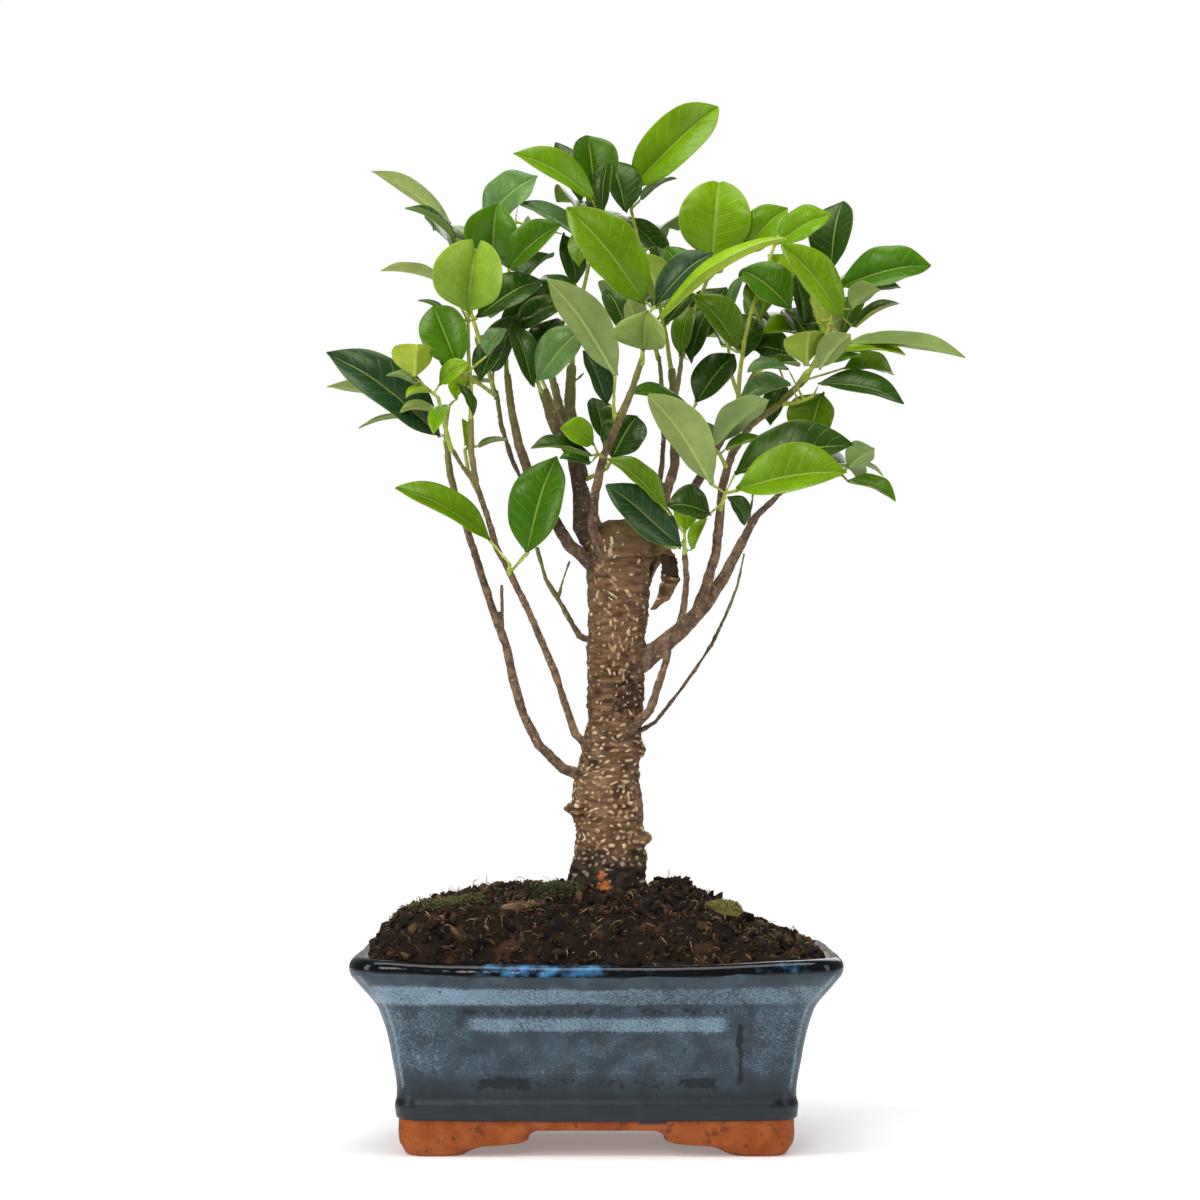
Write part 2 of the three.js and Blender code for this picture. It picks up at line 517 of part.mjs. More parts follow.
// A shoot has a green stem that grows on a branch, and its leaves.
// A leaf is [foot of the blade], [tip], width, face, and sometimes a deeper fold.
// face is how far the upper side is turned to the front: 90 shows it fully, 0 shows the edge with the
// upper side to the sky, and a negative value shows the underside.
const SHOOTS = {
  shoot_cup: {
    on: "branch_left_middle",
    stem: [[-46, -17, 218], [-49, -22, 229], [-52, -26, 239], [-57, -28, 241]],
    leaves: [
      [[-58, -30, 242], [-57, -34, 253], 13, -75, 0.8],
      [[-57, -30, 240], [-67, -32, 243], 6, 20],
      [[-53, -28, 238], [-61, -30, 236], 6, 20],
      [[-50, -24, 240], [-41, -28, 247], 8, 55],
    ],
  },
  shoot_far_left: {
    on: "branch_left_low",
    stem: [[-48, -9, 220], [-48, -11, 226], [-47, -12, 233]],
    leaves: [
      [[-50, -14, 223], [-86, -22, 251], 17, 62],
      [[-52, -7, 229], [-86, -9, 240], 10, -25],
      [[-50, -19, 231], [-63, -25, 231.5], 8, 22],
      [[-55, -3, 229.5], [-76, 0, 226], 5, 14],
      [[-48, -17, 233], [-52, -24, 224], 6, 70],
      [[-45, -14, 235], [-41, -10, 246], 7, 60],
    ],
  },
  shoot_left_fold: {
    on: "branch_left_middle",
    stem: [[-40, -18, 227], [-40, -20, 240], [-41, -22, 252], [-41, -23, 260]],
    leaves: [
      [[-41, -26, 263], [-38.5, -31, 285], 22, 85, 0.45],
      [[-38, -18, 261], [-17.5, -13, 274], 14, 58],
      [[-47, -14, 272], [-69, -14, 276.5], 7, -22],
      [[-43, -16, 265], [-48, -19, 275], 8, 45],
      [[-47, -14, 262], [-57, -14, 267], 5, 15],
      [[-46, -12, 256], [-56.5, -12, 255.5], 5, 15],
    ],
  },
  shoot_left_inner: {
    on: "branch_left_high",
    stem: [[-32, 0, 236], [-36, -10, 239], [-42, -22, 243]],
    leaves: [
      [[-44, -30, 245], [-52, -38, 265], 15, 78],
      [[-37, -24, 241], [-30, -16, 255], 10, 58],
      [[-35, -27, 249], [-29, -22, 258], 8, 50],
      [[-44, -20, 240], [-39, -18, 230], 5, 40],
      [[-46, -18, 243], [-50, -18, 249], 5, 60],
      [[-44, -14, 238], [-34, -8, 241], 6, 30],
      [[-33, 8, 244], [-24, 12, 262], 12, 60],
    ],
  },
  shoot_left_crest: {
    on: "branch_left_high",
    stem: [[-32, 0, 235], [-36, 2, 250], [-41, 4, 266], [-42, 4, 280], [-40, 4, 287]],
    leaves: [
      [[-47, 4, 291], [-72, 8, 308.5], 9, -32],
      [[-45, -1, 286.5], [-61, -4, 297], 9, 14],
      [[-36, 7, 292], [-19, 4, 307.5], 15, 62],
      [[-33, -6, 281], [-32, -16, 298], 18, 80],
      [[-46, 12, 283], [-52, 44, 290], 15, 40],
      [[-36, 14, 279], [-30, 50, 284], 16, 30],
    ],
  },
  shoot_green_pair: {
    on: "branch_left_middle",
    stem: [[-27.5, -12, 178.5], [-27.8, -14.5, 180.5], [-27.5, -17, 182.5]],
    leaves: [
      [[-34, -14, 190], [-64, -20, 207.5], 12, 48],
      [[-22, -9, 186], [-13, -9, 217.5], 18, 70],
    ],
  },
  shoot_thin_left: {
    on: "branch_left_middle",
    stem: [[-37, -14.2, 204], [-41, -12, 212], [-42, -10, 219]],
    leaves: [
      [[-41.5, -10, 220], [-42.5, -9, 229], 4, 50],
      [[-38, -9, 220], [-28, -6, 222], 5, 15],
    ],
  },
  shoot_left_streak: {
    on: "branch_left_high",
    stem: [[-28.5, -5, 241], [-29, -4, 254], [-28, -4, 268], [-28, -3, 280], [-26, -2, 292]],
    leaves: [
      [[-31, -13, 258], [-11, -20, 269.5], 10, 42],
      [[-26, -8, 257], [-10, -8, 267], 11, 55],
      [[-28, -12, 277], [-11.5, -20, 291.5], 12, 62],
      [[-25, 0, 298], [-1, 2, 283], 12, 35],
      [[-11, 6, 288], [-6, 10, 272], 9, 65],
      [[-24, -2, 272], [-14, 6, 282], 12, 40],
    ],
  },
  shoot_inner_pair: {
    on: "branch_centre_dark",
    stem: [[-17, -9, 236], [-18.5, -12, 240], [-19.5, -14, 244]],
    leaves: [
      [[-18.5, -18, 241], [-4, -22, 258.5], 14, 62],
      [[-20.5, -14, 239], [-27, -11, 259.5], 9, 62],
      [[-17, -6, 246], [-13, 2, 262], 13, 60],
    ],
  },
  shoot_top_middle: {
    on: "branch_centre_dark",
    stem: [[-8, 7, 244], [-6, 5, 262], [-2, -1, 280], [0, -5, 294]],
    leaves: [
      [[-1, -14, 299], [-26.5, -24, 314.5], 14, 48],
      [[-1, -8, 300], [-3, -6, 320], 15, 75, 0.4],
      [[-5, -2, 298], [-13, 4, 318], 9, 60],
      [[2, -12, 295], [4, -14, 312.5], 8, 55],
      [[9, -2, 295], [3.5, 4, 313], 14, 55],
      [[-3, 8, 290], [-12, 40, 300], 16, 30],
      [[-2, -16, 290], [-6, -26, 278], 8, 60],
      [[-1, -4, 284], [7, -10, 272], 12, 60],
      [[-9, 2, 262], [-16, 6, 276], 12, 60],
    ],
  },
  shoot_front_fan: {
    on: "branch_centre_pale",
    stem: [[14.5, -29, 246], [15, -32, 254], [16, -32, 262]],
    leaves: [
      [[15, -36, 266], [-9.5, -44, 297], 19, 68],
      [[15.5, -40, 251], [16, -46, 263.5], 17, 72, 0.5],
      [[14, -38, 253], [10, -42, 267.5], 8, -65],
      [[20, -36, 260], [61, -42, 287], 12, 18],
      [[19, -24, 265], [37, -24, 283], 12, 55],
      [[20, -14, 267], [14.5, -12, 282], 11, -60],
      [[22, -18, 259], [31.5, -14, 269], 8, 55],
      [[10, -22, 255], [3, -18, 271], 12, 60],
    ],
  },
  shoot_top_right: {
    on: "branch_back_middle",
    stem: [[24, 24, 243], [21, 18, 262], [15, 10, 280], [11, 4, 296]],
    leaves: [
      [[10.5, 0, 302], [39, -6, 329.5], 16.5, 80],
      [[14, 6, 299], [25.5, 10, 306.5], 8, 20],
      [[10, 10, 293], [23, 8, 278], 9, 60],
      [[6, 14, 288], [-2, 46, 296], 16, 30],
      [[16, 20, 284], [26, 54, 290], 16, 30],
      [[18, 10, 272], [8, 4, 264], 12, 60],
      [[19, 8, 284], [23, 4, 270], 12, 60],
    ],
  },
  shoot_round_leaf: {
    on: "branch_back_middle",
    stem: [[27.5, 6, 249], [30, 3, 260], [34, 0, 270], [38, -2, 278], [44, -4, 282]],
    leaves: [
      [[37, -6, 279], [39, -12, 305.5], 23, 85, 0.12],
      [[47, -8, 282], [61, -12, 297], 13, 68],
      [[27, -4, 249], [30, -2, 265], 8, 60],
      [[30, 0, 247], [36, 4, 265], 9, 60],
      [[43, -10, 262], [47, -12, 275], 6, 35],
      [[40, 12, 276], [46, 46, 284], 16, 30],
      [[34, 8, 254], [41, 10, 272], 14, 60],
      [[29, 6, 270], [22, 12, 284], 12, 60],
    ],
  },
  shoot_right_bough: {
    on: "branch_right_low",
    stem: [[45, -15, 220.5], [45, -19, 232], [46, -20, 246], [49, -18, 262], [54, -16, 276], [57, -16, 285]],
    leaves: [
      [[45, -26, 251], [31, -30, 269], 13, 55],
      [[62, -18, 264], [46.5, -16, 277], 15, 62],
      [[58, -20, 285], [75, -24, 295], 12, 60],
      [[61, -12, 271], [55, -14, 282], 9, 55],
      [[51, 0, 270], [58, 30, 276], 15, 30],
      [[47, -10, 248], [42, -2, 264], 14, 60],
      [[52, -10, 260], [58, -2, 275], 14, 60],
    ],
  },
  shoot_right_arch: {
    on: "branch_right_low",
    stem: [[66, -14, 240], [70, -16, 248], [74, -18, 257], [76, -16, 266]],
    leaves: [
      [[78, -26, 261], [59, -34, 285], 14, 62],
      [[75, -6, 276], [78.5, 0, 299], 15, 60],
      [[74, -14, 255], [69, -12, 271], 11, 60],
      [[66, -8, 259], [63, -6, 276], 8, 60],
      [[78, -14, 271], [107, -18, 278.5], 15, 60],
      [[80, -6, 267], [97, -4, 271], 10, 40],
      [[81, -16, 264], [90, -14, 271], 9, -45],
      [[82, -4, 258], [96.5, -2, 266], 8, 24],
      [[74, 2, 268], [82, 36, 274], 15, 30],
      [[71, 4, 256], [66, 16, 276], 12, 55],
      [[70, -10, 250], [60, -4, 264], 13, 55],
      [[78, -8, 254], [84, -4, 268], 11, 55],
    ],
  },
  shoot_right_fan: {
    on: "branch_right_low",
    stem: [[63, -13.5, 238], [66, -24, 243], [70, -30, 246], [76, -30, 250]],
    leaves: [
      [[67, -36, 246], [68, -44, 257], 13, -72, 0.4],
      [[71, -36, 245], [81, -42, 256.5], 9, -60],
      [[80, -26, 253], [118, -26, 249], 9, -28],
      [[78, -22, 250.5], [98.5, -22, 249.5], 10, 36],
      [[79, -14, 245], [95, -12, 243.5], 11, 42],
      [[72, -20, 246], [84, -16, 251], 11, 50],
    ],
  },
  shoot_right_glossy: {
    on: "branch_right_low",
    stem: [[59, -13, 233.5], [64, -17, 234], [69, -19, 236]],
    leaves: [
      [[71, -22, 240], [98.5, -26, 234.5], 13, 40],
      [[72, -14, 237], [68, -12, 222], 16, 66],
      [[62, -18, 240], [46, -18, 234], 11, 42],
      [[61, -22, 245], [48, -26, 244], 8, 35],
    ],
  },
  shoot_right_inner: {
    on: "branch_back_right",
    stem: [[50, 42, 242], [54, 28, 246], [60, 10, 250]],
    leaves: [
      [[65, -2, 256], [53, -8, 257], 10, 42],
      [[63, 4, 249], [50, 0, 252], 13, 52],
      [[56, 16, 252], [44, 14, 258], 13, 55],
      [[65, -6, 246], [55, -12, 246], 7, 30],
      [[60, 18, 240], [55, 12, 227], 9, 55],
      [[46, 20, 262], [50, 4, 253], 12, 55],
    ],
  },
  shoot_low_dark: {
    on: "branch_right_low",
    stem: [[39.3, -18.5, 199], [40, -23, 202], [41, -26, 205]],
    leaves: [
      [[44, -27, 211], [82, -30, 221], 18, 52],
      [[45, -36, 206], [80, -46, 212], 18, 58],
      [[36.5, -34, 208], [16.5, -42, 237], 15, -55],
      [[36, -26, 198.5], [22.5, -30, 202], 13, 55],
      [[42, -22, 204], [48, -16, 195], 8, 50],
    ],
  },
  shoot_low_outer: {
    on: "branch_right_low",
    stem: [[58, -8, 205], [64, -8, 208], [72, -9, 210], [78, -10, 211]],
    leaves: [
      [[80, -10, 213.5], [88.5, -12, 219.5], 10, -60],
      [[80, -16, 209], [95.5, -20, 203], 9, 36],
      [[82, -4, 215], [91.5, 0, 211], 5, 20],
      [[72, 0, 214], [84, 24, 210], 11, 20],
    ],
  },
  shoot_stump_side: {
    on: "branch_right_low",
    stem: [[28.2, -18.5, 184.5], [28, -21, 188], [28, -23, 192]],
    leaves: [
      [[25.5, -28, 187.5], [3, -36, 208], 14, 66],
      [[22, -34, 200], [3.5, -36, 216.5], 10, 45],
      [[28.5, -24, 193], [31, -22, 204], 9, 60],
      [[30.5, -20, 187], [35, -18, 197.5], 6, 40],
    ],
  },
  shoot_middle_right: {
    on: "branch_back_middle",
    stem: [[25, 22, 224], [27.5, 12, 228], [30, 2, 231]],
    leaves: [
      [[32, 0, 234], [44, 4, 249.5], 13, 62],
      [[30, -8, 231.5], [10, -20, 238], 10, 30],
    ],
  },
  shoot_brown_side: {
    on: "branch_right_low",
    stem: [[41.5, -18, 213], [40, -21, 216], [39, -23, 218]],
    leaves: [
      [[37.5, -24, 220], [55, -30, 235], 12, -48],
      [[41, -22, 219], [53.5, -22, 222], 7, 28],
      [[35.5, -20, 221], [34, -16, 228], 7, 50],
    ],
  },
  shoot_middle_low: {
    on: "branch_centre_pale",
    stem: [[2.5, -13.5, 216.5], [1.5, -16.5, 217], [0.5, -19, 217.5]],
    leaves: [
      [[-1, -22, 221], [-11.5, -26, 226], 10, 60],
      [[-2, -24, 217], [-21, -30, 220], 9, 28],
      [[-2, -20, 214.5], [-12, -18, 217], 8, 45],
    ],
  },
  shoot_middle_dark: {
    on: "branch_centre_dark",
    stem: [[-4.5, 0, 209], [0, 1, 211], [3.5, 1, 213]],
    leaves: [
      [[5, 0, 216], [13, 5, 230], 15, 72],
      [[2, 3, 222], [-1, 7, 236], 10, 60],
    ],
  },
  shoot_middle_front: {
    on: "branch_centre_pale",
    stem: [[6.5, -17.5, 227], [5.5, -20, 231], [5.5, -22, 236]],
    leaves: [
      [[6, -28, 242.5], [-15.5, -36, 274], 14, -58],
      [[3, -20, 233], [-4, -22, 251], 9, 55],
    ],
  },
  shoot_back_left: {
    on: "branch_back_left",
    stem: [[-16, 32, 247], [-20, 38, 262], [-24, 44, 278]],
    leaves: [
      [[-22, 44, 262], [-34, 76, 262], 16, 20],
      [[-18, 44, 266], [-8, 76, 264], 16, 20],
      [[-26, 50, 276], [-42, 74, 281], 16, 25],
      [[-22, 50, 280], [-20, 82, 288], 16, 25],
      [[-26, 38, 268], [-42, 52, 270], 14, 30],
    ],
  },
  shoot_back_low_left: {
    on: "branch_back_left",
    stem: [[-11, 26, 228], [-16, 34, 238], [-20, 40, 248]],
    leaves: [
      [[-22, 42, 250], [-38, 62, 252], 14, 20],
      [[-18, 44, 252], [-16, 78, 250], 15, 20],
    ],
  },
  shoot_back_middle: {
    on: "branch_back_middle",
    stem: [[20, 22, 247], [16, 30, 262], [12, 38, 276]],
    leaves: [
      [[14, 40, 264], [2, 72, 268], 16, 20],
      [[18, 40, 264], [31, 72, 262], 16, 20],
      [[11, 46, 275], [6, 80, 282], 16, 25],
      [[14, 46, 279], [22, 78, 287], 16, 25],
    ],
  },
  shoot_back_right: {
    on: "branch_back_right",
    stem: [[54, 44, 249], [58, 48, 258], [62, 52, 268]],
    leaves: [
      [[57, 54, 258], [48, 86, 262], 16, 20],
      [[61, 54, 258], [73, 84, 258], 16, 20],
      [[61, 58, 270], [59, 90, 277], 16, 25],
      [[65, 58, 266], [77, 80, 272], 16, 25],
      [[66, 46, 262], [80, 44, 262], 14, 30],
    ],
  },
  shoot_back_low_right: {
    on: "branch_back_right",
    stem: [[46, 39.5, 234], [43, 46, 243], [42, 50, 252]],
    leaves: [
      [[40, 54, 252], [34, 86, 256], 16, 20],
      [[45, 54, 250], [58, 80, 248], 16, 20],
      [[40, 48, 256], [30, 66, 264], 15, 30],
    ],
  },
};

const STEM_START_RADIUS = 0.95;
const STEM_END_RADIUS = 0.7;

// The directions of a blade: along it, across it, and out of its upper side.
function bladeFrame(foot, tip, face) {
  const along = tip.clone().sub(foot).normalize();
  const front = new THREE.Vector3(0, -1, 0);
  front.addScaledVector(along, -front.dot(along)).normalize();
  const sky = new THREE.Vector3().crossVectors(along, front);
  if (sky.z < 0) sky.negate();
  const turned = THREE.MathUtils.degToRad(face);
  const upper = front.multiplyScalar(Math.sin(turned)).addScaledVector(sky, Math.cos(turned));
  const across = new THREE.Vector3().crossVectors(upper, along).normalize();
  return { along, across, upper };
}

// Four points round the middle of a section: one margin, the midrib's top, the other margin,
// the midrib's underside.
function leafRing(middle, { across, upper }, half, thickness, fold) {
  const raised = middle.clone().addScaledVector(upper, fold * half);
  return [
    raised.clone().addScaledVector(across, half),
    middle.clone().addScaledVector(upper, thickness / 2),
    raised.clone().addScaledVector(across, -half),
    middle.clone().addScaledVector(upper, -thickness / 2),
  ];
}

// The blade and, unless it is left off, the petiole that joins it to the stem.
function leafSolid(leaf, stemPoint, { grow = 0, bladeOnly = false } = {}) {
  const frame = bladeFrame(leaf.foot, leaf.tip, leaf.face);
  const length = leaf.foot.distanceTo(leaf.tip);
  const rings = [];
  if (!bladeOnly) {
    const along = leaf.foot.clone().sub(stemPoint).normalize();
    const across = frame.across.clone().addScaledVector(along, -frame.across.dot(along)).normalize();
    const upper = new THREE.Vector3().crossVectors(along, across);
    const radius = PETIOLE_RADIUS + grow;
    rings.push(leafRing(stemPoint, { across, upper }, radius, 2 * radius, 0));
  }
  BLADE_OUTLINE.slice(bladeOnly ? 1 : 0).forEach(([share, widthShare]) => {
    const arch = LEAF_CAMBER * length * 4 * share * (1 - share);
    const middle = leaf.foot.clone().lerp(leaf.tip, share).addScaledVector(frame.upper, arch);
    const half = (widthShare * leaf.width) / 2 + grow;
    const thickness = (share === 0 ? 2 * PETIOLE_RADIUS : LEAF_THICKNESS) + 2 * grow;
    rings.push(leafRing(middle, frame, half, thickness, share === 0 ? 0 : leaf.fold));
  });
  const apex = leaf.tip.clone().addScaledVector(frame.along, grow);
  return solidFrom(loft(rings, apex));
}

// How far a tip may swing in depth, and a blade turn about its own axis in degrees, to find free air.
const TIP_SWINGS = [0, 2, -2, 4, -4, 6, -6, 9, -9, 12, -12, 16, -16, 20, -20, 24, -24];
const BLADE_TURNS = [0, 14, -14, 28, -28, 42, -42];
const FOOT_FOLLOWS = 0.35; // share of its tip's swing that a blade's foot makes

// A leaf as drawn, or swung and turned until it clears its neighbours.
function settleLeaf([foot, tip, width, face, fold = LEAF_FOLD], stem, others, own, label) {
  for (const turn of BLADE_TURNS) {
    for (const swing of TIP_SWINGS) {
      const leaf = {
        foot: onElevation([foot[0], foot[1] + swing * FOOT_FOLLOWS, foot[2]]),
        tip: onElevation([tip[0], tip[1] + swing, tip[2]]),
        width,
        face: face + turn,
        fold,
      };
      const stemPoint = nearestOnStem(stem, leaf.foot);
      const whole = leafSolid(leaf, stemPoint, { grow: GAP });
      if (others.some((other) => meets(whole, other))) continue;
      const blade = leafSolid(leaf, stemPoint, { grow: GAP, bladeOnly: true });
      if (own.some((solid) => meets(blade, solid))) continue;
      return leafSolid(leaf, stemPoint);
    }
  }
  throw new Error("no free place for leaf " + label);
}

// ---------------------------------------------------------------- colours

const paint = (color, roughness) => new THREE.MeshStandardMaterial({ color, roughness, metalness: 0 });
const GLAZE = paint("#2c4257", 0.18);
const MESH_PLASTIC = paint("#1d1f1e", 0.6);
const PEAT = paint("#2a1b12", 0.95);
const MOSS = paint("#54602a", 0.95);
const CHIP = paint("#8a6746", 0.85);
const BARK = paint("#6f5b45", 0.9);
const YOUNG_BARK = paint("#7a6a4a", 0.8);
const LEAF_GREEN = paint("#4f8410", 0.4);

// ---------------------------------------------------------------- assembly

const tree = new THREE.Group();

function addPiece(name, solid, material) {
  const mesh = new THREE.Mesh(geometryFrom(solid), material);
  mesh.name = name;
  tree.add(mesh);
}

const screens = {
  drain_screen_left: drainScreen(-DRAIN_HOLE_X),
  drain_screen_right: drainScreen(DRAIN_HOLE_X),
};
const trunk = trunkSolid(0).add(barkFlap(0));
const trunkClearance = trunkSolid(GAP).add(barkFlap(GAP));

addPiece("pot", potSolid(), GLAZE);

let soil = soilSolid(0).subtract(trunkClearance);
for (const [name, screen] of Object.entries(screens)) {
  addPiece(name, screen, MESH_PLASTIC);
  const x = name.endsWith("left") ? -DRAIN_HOLE_X : DRAIN_HOLE_X;
  const pocketSide = SCREEN_SIDE + 2;
  const pocket = new THREE.BoxGeometry(pocketSide, pocketSide, 2 * (SCREEN_THICKNESS + GAP));
  pocket.translate(x, 0, POT_FLOOR + GAP); // it reaches up to a gap over the screen
  soil = soil.subtract(solidFrom(pocket));
}
addPiece("soil", soil, PEAT);

const soilClearance = soilSolid(GAP).add(trunkClearance);
const onSoil = {
  moss_left: [cushion([-42, -20, 73.5], [15, 10, 4], 0.3), MOSS],
  moss_small: [cushion([-13, -14, 79.5], [5, 4, 2.4], 0), MOSS],
  moss_right: [cushion([39, -24, 73.5], [6, 5, 3.4], 0), MOSS],
  bark_chip: [cushion([-22, -30, 74], [9, 2.6, 3], 0.35), CHIP],
};
for (const [name, [mound, material]] of Object.entries(onSoil)) {
  addPiece(name, mound.subtract(soilClearance), material);
}
addPiece("trunk", trunk, BARK);

// Branches, each fitted to the trunk and to the branches before it.
const branches = {};
const branchClearances = {};
for (const [name, limbs] of Object.entries(BRANCHES)) {
  const joined = (grow) =>
    limbs
      .map(([route, start, end]) => limb(route, start, end, start > 1.8 ? 6 : 5, grow))
      .reduce((sum, solid) => sum.add(solid));
  let branch = joined(0).subtract(trunkClearance);
  for (const earlier of Object.values(branchClearances)) {
    if (boxesMeet(branch, earlier)) branch = branch.subtract(earlier);
  }
  branches[name] = largestBody(branch, name);
  branchClearances[name] = joined(GAP);
  addPiece(name, branches[name], YOUNG_BARK);
}

// Stems of the shoots, fitted to their branch and to each other.
const stems = {};
const stemClearances = {};
for (const [name, shoot] of Object.entries(SHOOTS)) {
  let stem = limb(shoot.stem, STEM_START_RADIUS, STEM_END_RADIUS);
  for (const earlier of [...Object.values(branchClearances), ...Object.values(stemClearances)]) {
    if (boxesMeet(stem, earlier)) stem = stem.subtract(earlier);
  }
  stems[name] = bodiesBySize(stem)[0];
  stemClearances[name] = limb(shoot.stem, STEM_START_RADIUS, STEM_END_RADIUS, 5, GAP);
}

// Leaves, shoot by shoot: each one clears everything that is already in place.
const placed = {};
for (const [name, stem] of Object.entries(stems)) placed[name] = [stem];
for (const [name, shoot] of Object.entries(SHOOTS)) {
  const ownBranch = branches[shoot.on];
  const others = [
    trunk,
    ...Object.values(branches).filter((branch) => branch !== ownBranch),
    ...Object.keys(placed).filter((other) => other !== name).flatMap((other) => placed[other]),
  ];
  let spray = stems[name];
  shoot.leaves.forEach((leaf, index) => {
    const own = [ownBranch, ...placed[name]];
    const settled = settleLeaf(leaf, shoot.stem, others, own, name + " " + index);
    placed[name].push(settled);
    spray = spray.add(settled);
  });
  addPiece(name, largestBody(spray.subtract(branchClearances[shoot.on]), name), LEAF_GREEN);
}

// The origin is below the middle of the whole object, on the surface that it stands on.
const extent = new THREE.Box3().setFromObject(tree);
const middle = extent.getCenter(new THREE.Vector3());
tree.position.set(snap(-middle.x), snap(-middle.y), snap(-extent.min.z));

export default tree;
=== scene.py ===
# %% [markdown]
# # A small-leaved fig bonsai in a blue-glazed pot
#
# This file dresses a measured model of a potted bonsai for a picture. The measured model holds the sizes
# and places of every piece: the pot, the soil, the trunk, the branches and the leafy shoots. It is loaded
# first, and each rough solid in it is then replaced by a fine piece with a finish of its own.
#
# A plant could be modelled leaf by leaf by hand, but here each measured leaf already tells where its
# midrib and its margins run. A smooth blade is stretched over those few lines, so it lands exactly
# where the measured one is.

# %% Load the measured model
import itertools
import json
import math

import bmesh
import bpy
import numpy as np
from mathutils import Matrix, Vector, geometry
from mathutils.bvhtree import BVHTree

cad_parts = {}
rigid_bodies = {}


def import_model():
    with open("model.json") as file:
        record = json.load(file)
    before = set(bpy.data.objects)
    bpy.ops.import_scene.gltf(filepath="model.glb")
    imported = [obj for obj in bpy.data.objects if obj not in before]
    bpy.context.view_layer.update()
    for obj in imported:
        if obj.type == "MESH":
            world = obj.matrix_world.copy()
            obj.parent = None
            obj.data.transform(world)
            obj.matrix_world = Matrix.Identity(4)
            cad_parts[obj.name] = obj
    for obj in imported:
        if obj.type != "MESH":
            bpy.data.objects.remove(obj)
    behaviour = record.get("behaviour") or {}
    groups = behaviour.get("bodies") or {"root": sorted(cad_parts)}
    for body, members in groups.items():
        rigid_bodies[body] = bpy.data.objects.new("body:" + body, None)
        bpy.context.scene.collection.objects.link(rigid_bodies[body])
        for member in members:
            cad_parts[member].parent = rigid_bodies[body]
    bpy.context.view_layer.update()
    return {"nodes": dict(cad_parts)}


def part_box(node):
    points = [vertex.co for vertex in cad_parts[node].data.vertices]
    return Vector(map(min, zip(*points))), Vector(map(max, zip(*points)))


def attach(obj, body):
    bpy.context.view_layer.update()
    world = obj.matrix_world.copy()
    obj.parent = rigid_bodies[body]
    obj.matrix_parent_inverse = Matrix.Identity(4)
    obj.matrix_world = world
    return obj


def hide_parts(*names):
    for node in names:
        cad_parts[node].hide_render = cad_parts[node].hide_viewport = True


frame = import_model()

MM = 0.001  # pieces are worked out in millimetres, and Blender holds metres
scene = bpy.context.scene

# %% [markdown]
# ## Camera, light and floor
#
# A long lens about a metre away, a little above the rim and tilted up, keeps the pot square and the tree
# upright. One big soft lamp above, a tall one at each side, a small one in front and a wide one behind are
# what a small product studio has. The one behind lifts the edges of the leaves off the pale ground.
# The lamps are large, so highlights on glaze and leaves are broad and shadows are faint.

# %% Camera
pot_low, pot_high = (np.array(corner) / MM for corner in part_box("pot"))
pot_middle = (pot_low + pot_high) / 2

camera = bpy.data.objects.new("camera", bpy.data.cameras.new("camera"))
camera.data.lens = 98.7
camera.data.sensor_width = 36
camera.location = Vector((pot_middle[0] + 1.1, pot_middle[1] - 1045, 125)) * MM
camera.rotation_euler = (math.radians(92.521), 0, 0)
scene.collection.objects.link(camera)
scene.camera = camera
scene.view_settings.view_transform = "Standard"
print("camera at", [round(v, 3) for v in camera.location])


# %% Lamps
def softbox(name, place, aim, width, height, power):
    """A rectangular lamp at place, in metres, that faces aim."""
    lamp = bpy.data.lights.new(name, "AREA")
    lamp.shape = "RECTANGLE"
    lamp.size, lamp.size_y = width, height
    lamp.energy = power
    holder = bpy.data.objects.new(name, lamp)
    holder.location = place
    holder.rotation_euler = (Vector(place) - Vector(aim)).to_track_quat("Z", "Y").to_euler()
    scene.collection.objects.link(holder)


CROWN = (0, 0, 0.22)
softbox("lamp_above", (-0.1, -0.35, 1.15), CROWN, 0.9, 0.7, 10)
softbox("lamp_left", (-1.0, -0.65, 0.5), CROWN, 0.35, 1.0, 6)
softbox("lamp_right", (1.05, -0.55, 0.45), CROWN, 0.3, 1.0, 3)
softbox("lamp_front", (-0.35, -1.6, 0.75), CROWN, 0.45, 0.45, 6)
softbox("lamp_behind", (0.3, 1.2, 0.8), CROWN, 1.0, 0.8, 6)

world = bpy.data.worlds.new("studio_air")
world.use_nodes = True
scene.world = world
air = world.node_tree
air.nodes.clear()
air_glow = air.nodes.new("ShaderNodeBackground")
air_glow.inputs["Color"].default_value = (1.0, 1.0, 1.0, 1)
air_glow.inputs["Strength"].default_value = 0.3
backdrop = air.nodes.new("ShaderNodeBackground")
backdrop.inputs["Color"].default_value = (1.0, 1.0, 1.0, 1)
backdrop.inputs["Strength"].default_value = 1.0
seen = air.nodes.new("ShaderNodeLightPath")
either = air.nodes.new("ShaderNodeMixShader")
air_out = air.nodes.new("ShaderNodeOutputWorld")
air.links.new(seen.outputs["Is Camera Ray"], either.inputs[0])
air.links.new(air_glow.outputs[0], either.inputs[1])
air.links.new(backdrop.outputs[0], either.inputs[2])
air.links.new(either.outputs[0], air_out.inputs[0])

# %% [markdown]
# ## A few tools
#
# Every material below is a small graph of nodes. `node` adds one node and wires it in one line, which
# keeps the graphs readable. `lumps` is smooth random relief for moving points about, and is worked out with
# numpy so that a hundred thousand points take no time. `even_skin` wraps a rough closed mesh in an even
# net of small squares, and `relax` then irons out the facets without shrinking it.


